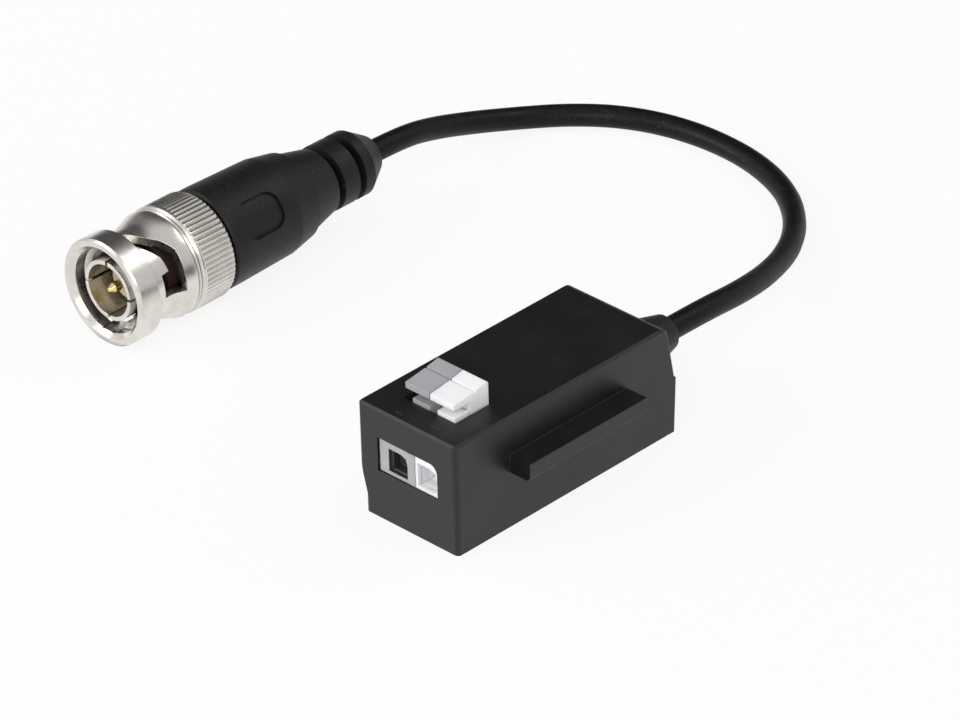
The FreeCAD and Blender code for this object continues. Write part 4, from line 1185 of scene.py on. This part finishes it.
@dataclass
class CouplingNut:
    """The coupling nut with the fine straight flutes of its grip.

    Attributes:
        clear_from: where the coarse grip is turned off, behind the plug's mouth.
        core: the radius that is left under the fine grip.
        crest: the radius of the flutes' crests.
        inside: the radius of the grip's hidden inner face.
        flutes: how many there are.
        flute_depth: how deep they are.
        weld: how near two corners are for one.
        sharp: the angle from which an edge stays sharp.
        profile: the share of the depth, step by step from crest to crest.
        rows: for each ring of the grip, its distance from the mouth, the share of the depth, and
            how far it lies below the crest.
    """

    clear_from: float = 10.0 * MM
    core: float = 6.80 * MM
    crest: float = 7.15 * MM
    inside: float = 6.70 * MM
    flutes: int = 64
    flute_depth: float = 0.24 * MM
    weld: float = 0.0005 * MM
    sharp: float = math.radians(30.0)
    profile: tuple[float, ...] = (0.0, 0.12, 0.70, 1.0, 0.70, 0.12)
    rows: tuple[tuple[float, float, float], ...] = (
        (9.81 * MM, 0.0, 0.05 * MM),
        (9.87 * MM, 0.0, 0.0),
        (10.05 * MM, 0.0, 0.0),
        (10.30 * MM, 1.0, 0.0),
        (14.80 * MM, 1.0, 0.0),
        (15.10 * MM, 0.3, 0.26 * MM),
    )

    def build(self, frame: dict[str, Any], wardrobe: Wardrobe) -> bpy.types.Object:
        """Make the nut from a copy of its plain form.

        Args:
            frame: what the frame's load gave.
            wardrobe: the materials.

        Returns:
            The nut.
        """
        mesh = bmesh.new()
        mesh.from_mesh(frame["nodes"]["bayonet_nut"].data)
        self.turn_down(mesh)
        self.add_grip(mesh)
        for face in mesh.faces:
            face.smooth = True
        for edge in mesh.edges:
            edge.smooth = edge.is_manifold and edge.calc_face_angle() < self.sharp
        nut = shaped("fluted_nut", mesh)
        # The plain form's own normals would smear the light over the new flutes.
        nut.data.attributes.remove(nut.data.attributes["custom_normal"])
        wardrobe.settle(nut, "nickel", Body.COUPLING_NUT, "bayonet_nut")
        return nut

    def turn_down(self, mesh: bmesh.types.BMesh) -> None:
        """Turn the coarse grip down to a plain core.

        Args:
            mesh: the nut's plain form.
        """
        bmesh.ops.remove_doubles(mesh, verts=mesh.verts, dist=self.weld)
        mouth = Vector(PLUG_MOUTH)
        start = mouth.y + self.clear_from
        everything = [*mesh.verts, *mesh.edges, *mesh.faces]
        bmesh.ops.bisect_plane(mesh, geom=everything, dist=self.weld, plane_co=(0.0, start, 0.0),
                               plane_no=(0.0, 1.0, 0.0))
        for corner in mesh.verts:
            across, upward = corner.co.x - mouth.x, corner.co.z - mouth.z
            away = math.hypot(across, upward)
            if corner.co.y > start - self.weld and away > self.core:
                corner.co.x = mouth.x + across * self.core / away
                corner.co.z = mouth.z + upward * self.core / away
        bmesh.ops.dissolve_degenerate(mesh, edges=mesh.edges, dist=self.weld)

    def add_grip(self, mesh: bmesh.types.BMesh) -> None:
        """Add the closed fluted ring.

        Args:
            mesh: the mesh that it goes into.
        """
        mouth = Vector(PLUG_MOUTH)
        count = self.flutes * len(self.profile)
        hidden = self.crest - self.inside
        rows = (*self.rows, (self.rows[-1][0], 0.0, hidden), (self.rows[0][0], 0.0, hidden))
        rings = []
        for along, share, drop in rows:
            ring = []
            for step in range(count):
                turn = math.tau * step / count
                dip = self.flute_depth * share * self.profile[step % len(self.profile)]
                radius = self.crest - drop - dip
                ring.append(mesh.verts.new((mouth.x + radius * math.cos(turn), mouth.y + along,
                                            mouth.z + radius * math.sin(turn))))
            rings.append(ring)
        for here, there in zip(rings, rings[1:] + rings[:1]):
            for step in range(count):
                follow = (step + 1) % count
                mesh.faces.new((here[step], there[step], there[follow], here[follow]))


@dataclass
class VideoLead:
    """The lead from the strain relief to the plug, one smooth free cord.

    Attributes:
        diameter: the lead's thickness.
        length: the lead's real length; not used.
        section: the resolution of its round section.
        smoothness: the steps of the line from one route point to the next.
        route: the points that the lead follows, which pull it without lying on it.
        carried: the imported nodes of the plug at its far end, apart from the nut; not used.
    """

    diameter: float = 3.0 * MM
    length: float = 0.1181
    section: int = 6
    smoothness: int = 10
    route: tuple[Point, ...] = (
        (0.0, 0.0265, 0.0075),
        (0.0, 0.0325, 0.0075),
        (-0.0012, 0.0408, 0.0060),
        (-0.0040, 0.0491, 0.0039),
        (-0.0077, 0.0570, 0.0023),
        (-0.0126, 0.0637, 0.0015),
        (-0.0187, 0.0685, 0.0015),
        (-0.0265, 0.0713, 0.0015),
        (-0.0346, 0.0719, 0.0015),
        (-0.0418, 0.0708, 0.0015),
        (-0.0479, 0.0682, 0.0015),
        (-0.0529, 0.0642, 0.0015),
        (-0.0564, 0.0590, 0.0019),
        (-0.0582, 0.0526, 0.0033),
        (-0.0586, 0.0456, 0.0053),
        (-0.05775, 0.03886, 0.00715),
        (-0.05775, 0.03286, 0.00715),
    )
    carried: tuple[str, ...] = (
        "plug_boot", "crimp_sleeve", "plug_body", "plug_insulator", "centre_pin",
        "sealing_gasket", "wave_washer", "retaining_ring",
    )

    def build(self, frame: dict[str, Any], wardrobe: Wardrobe, nut: bpy.types.Object) -> None:
        """Args:
            frame: what the frame's load gave; not used.
            wardrobe: the materials.
            nut: the coupling nut at its far end; not used.
        """
        curve = smooth_path("video_lead", self.route)
        curve.bevel_depth = self.diameter / 2
        curve.bevel_resolution = self.section
        curve.resolution_u = self.smoothness
        curve.use_fill_caps = True
        lead = linked("video_lead", curve)
        wardrobe.settle(lead, "cable_jacket", node="video_cable")


@dataclass
class BalunInside:
    """What the board carries beyond its plain parts: the winding, the leads and the solder.

    Attributes:
        core_middle: the middle of the ring core on the board.
        core_outer: the core's outer radius.
        core_inner: the radius of its hole.
        core_low: the height of its underside.
        core_high: the height of its top.
        wire: the thickness of the enamelled wire.
        clearance: how far the wire stays off the core.
        turns: how often each wire passes through the core.
        winding_start: where on the core the winding starts.
        winding_arc: how far round the core it goes.
        wire_spread: how far apart the two wires lie, as an angle on the core.
        screen: the route of the twisted screen to the board.
        core_lead: the route of the lead's insulated core to the board.
        strands: how many strands the screen has.
        strand_radius: the radius of a strand.
        lay_radius: how far from the route the strands lie.
        core_lead_radius: the radius of the insulated core.
        board_top: the height of the board's top.
        board_bottom: the height of its underside.
        chip_ends: where the chips' ends lie along the board.
        chip_columns: where the chips lie across it.
        chip_solder: the radius of a dome at a chip's end.
        diode_ends: where the surge diodes' ends lie along the board.
        diode_columns: where the diodes lie across it.
        diode_solder: the radius of a dome at a diode's end.
        pin_row: where the contact bars' pins come through.
        pin_columns: where the pins lie across the board.
        lead_solder: the radius of a dome at a pin or a lead.
    """

    core_middle: Point = (0.0, -0.65 * MM, 0.0)
    core_outer: float = 4.4 * MM
    core_inner: float = 2.2 * MM
    core_low: float = 5.5 * MM
    core_high: float = 8.9 * MM
    wire: float = 0.3 * MM
    clearance: float = 0.05 * MM
    turns: int = 14
    winding_start: float = math.radians(-60.0)
    winding_arc: float = math.radians(300.0)
    wire_spread: float = 0.16
    screen: tuple[Point, ...] = (
        (-0.0013, 0.01605, 0.0075),
        (-0.0013, 0.01515, 0.0075),
        (-0.0019, 0.0145, 0.0057),
        (-0.0025, 0.0131, 0.0057),
    )
    core_lead: tuple[Point, ...] = (
        (0.0011, 0.01605, 0.0075),
        (0.0011, 0.01515, 0.0075),
        (0.0016, 0.0145, 0.00545),
        (0.0021, 0.0127, 0.00545),
    )
    strands: int = 6
    strand_radius: float = 0.233 * MM
    lay_radius: float = 0.46 * MM
    core_lead_radius: float = 0.45 * MM
    board_top: float = 5.0 * MM
    board_bottom: float = 4.0 * MM
    chip_ends: Pair = (10.7 * MM, 12.3 * MM)
    chip_columns: tuple[float, ...] = (-3.45 * MM, -1.15 * MM, 1.15 * MM, 3.45 * MM)
    chip_solder: float = 0.45 * MM
    diode_ends: Pair = (6.3 * MM, 9.9 * MM)
    diode_columns: Pair = (-2.7 * MM, 2.7 * MM)
    diode_solder: float = 0.7 * MM
    pin_row: float = -9.2 * MM
    pin_columns: Pair = (-2.4 * MM, 2.4 * MM)
    lead_solder: float = 0.9 * MM

    def build(self, wardrobe: Wardrobe) -> None:
        """Make the winding, both leads and the solder.

        Args:
            wardrobe: the materials.
        """
        gap = self.wire / 2 + self.clearance
        winding = RingWinding.run(
            "winding_pair", bpy.data.meshes.new("winding_start"), Turns=self.turns,
            Start=self.winding_start, Arc=self.winding_arc,
            Outer_Radius=self.core_outer + gap, Inner_Radius=self.core_inner - gap,
            Low=self.core_low - gap, High=self.core_high + gap, Middle=self.core_middle,
            Wire_Radius=self.wire / 2, Wire_Spread=self.wire_spread,
            Material=wardrobe.materials["copper_wire"])
        wardrobe.settle(winding, "copper_wire", node="toroid_winding")
        screen = TwistedStrands.run(
            "screen_strands", smooth_path("screen_path", self.screen), Strands=self.strands,
            Strand_Radius=self.strand_radius, Lay_Radius=self.lay_radius,
            Material=wardrobe.materials["tinned_brass"])
        wardrobe.settle(screen, "tinned_brass", node="shield_tail")
        core_lead = TwistedStrands.run(
            "core_lead", smooth_path("core_path", self.core_lead), Strands=1,
            Strand_Radius=self.core_lead_radius, Lay_Radius=0.0,
            Material=wardrobe.materials["component_black"])
        wardrobe.settle(core_lead, "component_black", node="inner_lead")
        solder = SolderDomes.run("solder_joints", self.joint_points(),
                                 Material=wardrobe.materials["tinned_brass"])
        wardrobe.settle(solder, "tinned_brass")

    def joint_points(self) -> bpy.types.Mesh:
        """Mark the soldered places, each with the reach of its dome.

        Returns:
            A mesh of loose points with the attribute "reach".
        """
        chips = [(x, y, self.board_top) for x in self.chip_columns for y in self.chip_ends]
        diodes = [(x, y, self.board_top) for x in self.diode_columns for y in self.diode_ends]
        pins = [(x, self.pin_row, self.board_bottom) for x in self.pin_columns]
        leads = [(x, y, self.board_top) for x, y, _ in (self.screen[-1], self.core_lead[-1])]
        reaches = [self.chip_solder] * len(chips) + [self.diode_solder] * len(diodes)
        reaches += [self.lead_solder] * len(pins + leads)
        data = bpy.data.meshes.new("joint_points")
        data.from_pydata(chips + diodes + pins + leads, [], [])
        data.attributes.new("reach", "FLOAT", "POINT").data.foreach_set("value", reaches)
        return data


@dataclass
class CageSpring:
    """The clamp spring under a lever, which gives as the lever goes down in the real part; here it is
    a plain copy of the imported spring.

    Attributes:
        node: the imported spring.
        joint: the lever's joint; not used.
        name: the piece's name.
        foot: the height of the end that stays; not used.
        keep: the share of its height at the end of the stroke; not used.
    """

    node: str
    joint: str
    name: str
    foot: float = 6.75 * MM
    keep: float = 0.84

    def build(self, frame: dict[str, Any], wardrobe: Wardrobe) -> None:
        """Make the spring as a copy of its imported node.

        Args:
            frame: what the frame's load gave.
            wardrobe: the materials.
        """
        data = frame["nodes"][self.node].data.copy()
        data.name = self.name
        spring = linked(self.name, data)
        wardrobe.settle(spring, "spring_steel", node=self.node)
        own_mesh(spring)


@dataclass
class WireGuide:
    """The funnel that lines a wire cell and leads the wire into the clamp. A black one in the grey
    cell is painted shade for the cell's dark depth.

    Attributes:
        left: the cell's left side.
        name: the piece's name.
        slot: the material slot.
        width: the cell's width.
        low: the height of its underside.
        height: its height.
        front: where its face lies.
        corner: the radius of its upper right corner.
        corner_steps: the steps of that corner.
        wall: the thickness of the lining.
        rows: how far the lining is drawn in, and how deep it lies there.
    """

    left: float
    name: str
    slot: str
    width: float = 3.1 * MM
    low: float = 7.0 * MM
    height: float = 3.1 * MM
    front: float = -17.75 * MM
    corner: float = 1.3 * MM
    corner_steps: int = 8
    wall: float = 0.05 * MM
    rows: tuple[Pair, ...] = (
        (0.02 * MM, 0.03 * MM),
        (0.10 * MM, 0.42 * MM),
        (0.30 * MM, 0.50 * MM),
        (0.42 * MM, 1.40 * MM),
        (0.80 * MM, 1.80 * MM),
    )

    def outline(self, inset: float, depth: float) -> list[Vector]:
        """Draw the cell's outline, drawn in by a margin.

        Args:
            inset: how far the outline is drawn in.
            depth: how far behind the cell's face it lies.

        Returns:
            The points in order, the same number for every margin.
        """
        right, top = self.left + self.width, self.low + self.height
        points = [(self.left + inset, top - inset), (self.left + inset, self.low + inset),
                  (right - inset, self.low + inset)]
        radius = self.corner - inset
        for step in range(self.corner_steps + 1):
            turn = math.pi / 2 * step / self.corner_steps
            points.append((right - self.corner + radius * math.cos(turn),
                           top - self.corner + radius * math.sin(turn)))
        return [Vector((across, self.front + depth, upward)) for across, upward in points]

    def build(self, wardrobe: Wardrobe) -> None:
        """Loft the inner outlines and then the outer ones into one closed skin.

        Args:
            wardrobe: the materials.
        """
        mesh = bmesh.new()
        inner = [self.outline(inset, depth) for inset, depth in self.rows]
        outer = [self.outline(inset + self.wall, depth) for inset, depth in reversed(self.rows)]
        rings = [[mesh.verts.new(point) for point in points] for points in inner + outer]
        for here, there in zip(rings, rings[1:] + rings[:1]):
            for index in range(len(here)):
                follow = (index + 1) % len(here)
                mesh.faces.new((here[index], here[follow], there[follow], there[index]))
        bmesh.ops.recalc_face_normals(mesh, faces=mesh.faces)
        wardrobe.settle(shaped(self.name, mesh), self.slot)


def soft_block(mesh: bmesh.types.BMesh, middle: Point, size: Point, soften: float) -> None:
    """Add a block with softened edges.

    Args:
        mesh: the mesh that it goes into.
        middle: the middle of the block.
        size: its three lengths.
        soften: how far the edges are taken back.
    """
    made = bmesh.ops.create_cube(mesh, size=1.0)
    spot = Matrix.Translation(middle) @ Matrix.Diagonal((*size, 1.0))
    bmesh.ops.transform(mesh, matrix=spot, verts=made["verts"])
    edges = list({edge for corner in made["verts"] for edge in corner.link_edges})
    bmesh.ops.bevel(mesh, geom=edges, offset=soften, segments=2, affect="EDGES")


@dataclass
class PoleLip:
    """The grey pole's lip, which laps over the edge of the white pole in the window.

    Attributes:
        left: its left side.
        right: its right side.
        low: its underside.
        high: its top.
        face: where the poles' faces lie.
        thickness: how far it stands out of them.
        sunk: how far it goes into them.
        soften: how far its edges are taken back.
    """

    left: float = -0.1 * MM
    right: float = 1.1 * MM
    low: float = 6.7 * MM
    high: float = 10.9 * MM
    face: float = -17.75 * MM
    thickness: float = 0.1 * MM
    sunk: float = 0.05 * MM
    soften: float = 0.03 * MM

    def build(self, wardrobe: Wardrobe) -> None:
        """Make the lip.

        Args:
            wardrobe: the materials.
        """
        mesh = bmesh.new()
        depth = self.thickness + self.sunk
        middle = ((self.left + self.right) / 2, self.face + self.sunk - depth / 2,
                  (self.low + self.high) / 2)
        size = (self.right - self.left, depth, self.high - self.low)
        soft_block(mesh, middle, size, self.soften)
        wardrobe.settle(shaped("pole_lip", mesh), "terminal_grey")


@dataclass
class PolarityMarks:
    """The raised plus and minus on the cover, in front of the levers.

    Attributes:
        size: the length of a bar.
        stroke: the width of a bar.
        height: how far the marks stand out.
        top: the height of the cover's top.
        sunk: how far the marks go into the cover.
        soften: how far their edges are taken back.
        plus: the middle of the plus on the cover.
        minus: the middle of the minus on the cover.
    """

    size: float = 1.3 * MM
    stroke: float = 0.26 * MM
    height: float = 0.06 * MM
    top: float = 15.0 * MM
    sunk: float = 0.05 * MM
    soften: float = 0.036 * MM
    plus: Pair = (-2.2 * MM, -16.8 * MM)
    minus: Pair = (3.3 * MM, -16.3 * MM)

    def build(self, wardrobe: Wardrobe) -> None:
        """Make both marks as one piece: a long bar each, and two arms for the plus.

        Args:
            wardrobe: the materials.
        """
        mesh = bmesh.new()
        arm = (self.size - self.stroke) / 2
        reach = (self.stroke + arm) / 2
        across, along = self.plus
        self.bar(mesh, self.plus, (self.size, self.stroke))
        self.bar(mesh, (across, along + reach), (self.stroke, arm))
        self.bar(mesh, (across, along - reach), (self.stroke, arm))
        self.bar(mesh, self.minus, (self.size, self.stroke))
        wardrobe.settle(shaped("polarity_marks", mesh), "shell_black")

    def bar(self, mesh: bmesh.types.BMesh, place: Pair, size: Pair) -> None:
        """Add one bar with softened edges.

        Args:
            mesh: the mesh that it goes into.
            place: the middle of the bar on the cover.
            size: its lengths along X and Y.
        """
        thickness = self.height + self.sunk
        middle = (*place, self.top + self.height - thickness / 2)
        soft_block(mesh, middle, (*size, thickness), self.soften)


@dataclass(frozen=True)
class SoftLamp:
    """One soft lamp.

    Attributes:
        name: the lamp's name.
        place: where it hangs.
        size: its width and height.
        power: its power in watts.
    """

    name: str
    place: Point
    size: Pair
    power: float

    def hang(self, target: Point) -> None:
        """Hang the lamp.

        Args:
            target: what it faces.
        """
        data = bpy.data.lights.new(self.name, "AREA")
        data.shape = "RECTANGLE"
        data.size, data.size_y = self.size
        data.energy = self.power
        lamp = linked(self.name, data)
        aim = Vector(target) - Vector(self.place)
        turned = aim.to_track_quat("-Z", "Y").to_matrix().to_4x4()
        lamp.matrix_world = Matrix.Translation(self.place) @ turned


@dataclass
class Studio:
    """Pale floor, soft lamps and the camera at the photograph's angle.

    Attributes:
        target: the point on the floor that the camera and the lamps face.
        azimuth: the camera's turn from the front.
        elevation: its height above the floor, as an angle.
        distance: how far it stands from the target.
        roll: its turn about its own line of sight.
        lens: its focal length, in millimetres.
        sensor: its sensor's width, in millimetres.
        clip: the nearest and farthest that it sees.
        floor_size: the length of the floor's sides.
        floor_drop: how far the floor lies below the part.
        floor_colour: the floor's own colour.
        floor_glow: how pale the floor shows to the camera and in reflections.
        sky: the light of the white cloth all round.
        card: the light of the dark card behind.
        card_facing: where the card stands.
        card_edge: where the cloth ends and the card begins, as cosines of the angle from it.
        lamps: the soft lamps.
    """

    target: Point = (-0.02073, 0.01503, 0.0)
    azimuth: float = math.radians(45.23)
    elevation: float = math.radians(31.6)
    distance: float = 0.8
    roll: float = math.radians(-1.74)
    lens: float = 245.8
    sensor: float = 36.0
    clip: Span = (0.01, 20.0)
    floor_size: float = 8.0
    floor_drop: float = 0.02 * MM
    floor_colour: Colour = (0.90, 0.90, 0.90)
    floor_glow: float = 0.88
    sky: float = 0.67
    card: float = 0.07
    card_facing: Point = (-0.605, 0.600, 0.524)
    card_edge: Span = (0.70, 0.93)
    lamps: tuple[SoftLamp, ...] = (
        SoftLamp("front_left", (-1.0, -1.3, 0.75), (0.9, 0.9), 13.0),
        SoftLamp("front_right", (0.9, -1.4, 0.95), (0.9, 0.9), 11.5),
        SoftLamp("back_high", (0.5, 1.0, 1.5), (0.9, 0.6), 4.0),
    )

    def build(self) -> None:
        """Set up the camera, the floor, the lamps and what stands round them."""
        self.camera()
        self.floor()
        for lamp in self.lamps:
            lamp.hang(self.target)
        self.surroundings()
        bpy.context.scene.view_settings.view_transform = "Standard"

    def camera(self) -> None:
        """Set the camera up."""
        turn, rise = self.azimuth, self.elevation
        back = Vector((math.sin(turn) * math.cos(rise), -math.cos(turn) * math.cos(rise),
                       math.sin(rise)))
        right = Vector((math.cos(turn), math.sin(turn), 0.0))
        up = back.cross(right)
        across = math.cos(self.roll) * right + math.sin(self.roll) * up
        upward = math.cos(self.roll) * up - math.sin(self.roll) * right
        data = bpy.data.cameras.new("photo_camera")
        data.sensor_fit = "HORIZONTAL"
        data.sensor_width = self.sensor
        data.lens = self.lens
        data.clip_start, data.clip_end = self.clip
        camera = linked("photo_camera", data)
        turned = Matrix((across, upward, back)).transposed().to_4x4()
        place = Vector(self.target) + back * self.distance
        camera.matrix_world = Matrix.Translation(place) @ turned
        bpy.context.scene.camera = camera
        LOG.info("camera: %.1f mm lens at %.2f m", self.lens, self.distance)

    def floor(self) -> None:
        """Lay the floor, which shows pale to the camera and in reflections."""
        mesh = bmesh.new()
        bmesh.ops.create_grid(mesh, x_segments=1, y_segments=1, size=self.floor_size / 2)
        floor = shaped("floor", mesh)
        floor.location = (0.0, 0.0, -self.floor_drop)
        material, graph = blank_material("floor")
        lit = graph.node("ShaderNodeBsdfDiffuse")
        lit.inputs["Color"].default_value = opaque(self.floor_colour)
        glow = graph.node("ShaderNodeEmission")
        rays = graph.node("ShaderNodeLightPath").outputs
        seen = graph.math("MAXIMUM", rays["Is Camera Ray"], rays["Is Glossy Ray"])
        seen = graph.math("MAXIMUM", seen, rays["Is Transmission Ray"])
        mix = graph.node("ShaderNodeMixShader")
        graph.join(graph.math("MULTIPLY", seen, self.floor_glow), mix.inputs["Fac"])
        graph.join(lit.outputs["BSDF"], mix.inputs[1])
        graph.join(glow.outputs["Emission"], mix.inputs[2])
        output = graph.node("ShaderNodeOutputMaterial")
        graph.join(mix.outputs["Shader"], output.inputs["Surface"])
        floor.data.materials.append(material)

    def surroundings(self) -> None:
        """Hang soft white cloth all round, with a dark card behind that keeps the cover's top dark."""
        world = bpy.data.worlds.new("studio")
        world.use_nodes = True
        graph = Graph(world.node_tree)
        direction = graph.node("ShaderNodeTexCoord").outputs["Generated"]
        facing = graph.vectors("DOT_PRODUCT", direction, self.card_facing)
        background = world.node_tree.nodes["Background"]
        background.inputs["Color"].default_value = opaque((1.0, 1.0, 1.0))
        graph.join(graph.spread(facing, self.card_edge, self.sky, self.card),
                   background.inputs["Strength"])
        bpy.context.scene.world = world


def main() -> None:
    """Load the part and dress it."""
    logging.basicConfig(level=logging.INFO, format="%(name)s: %(message)s")
    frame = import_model()
    Studio().build()
    wardrobe = Wardrobe()
    wardrobe.dress_nodes(frame)
    nut = CouplingNut().build(frame, wardrobe)
    VideoLead().build(frame, wardrobe, nut)
    BalunInside().build(wardrobe)
    # Painted shade: the grey cell gets a black lining that stands in for the shade deep inside it,
    # while the white cell's lining keeps the pole's own white.
    WireGuide(-3.3 * MM, "wire_guide_grey", "component_black").build(wardrobe)
    WireGuide(1.5 * MM, "wire_guide_white", "terminal_white").build(wardrobe)
    CageSpring("clamp_spring_grey", "lever_grey_press", "cage_spring_grey").build(frame, wardrobe)
    CageSpring("clamp_spring_white", "lever_white_press", "cage_spring_white").build(frame, wardrobe)
    PoleLip().build(wardrobe)
    PolarityMarks().build(wardrobe)


if __name__ == "__main__":
    main()
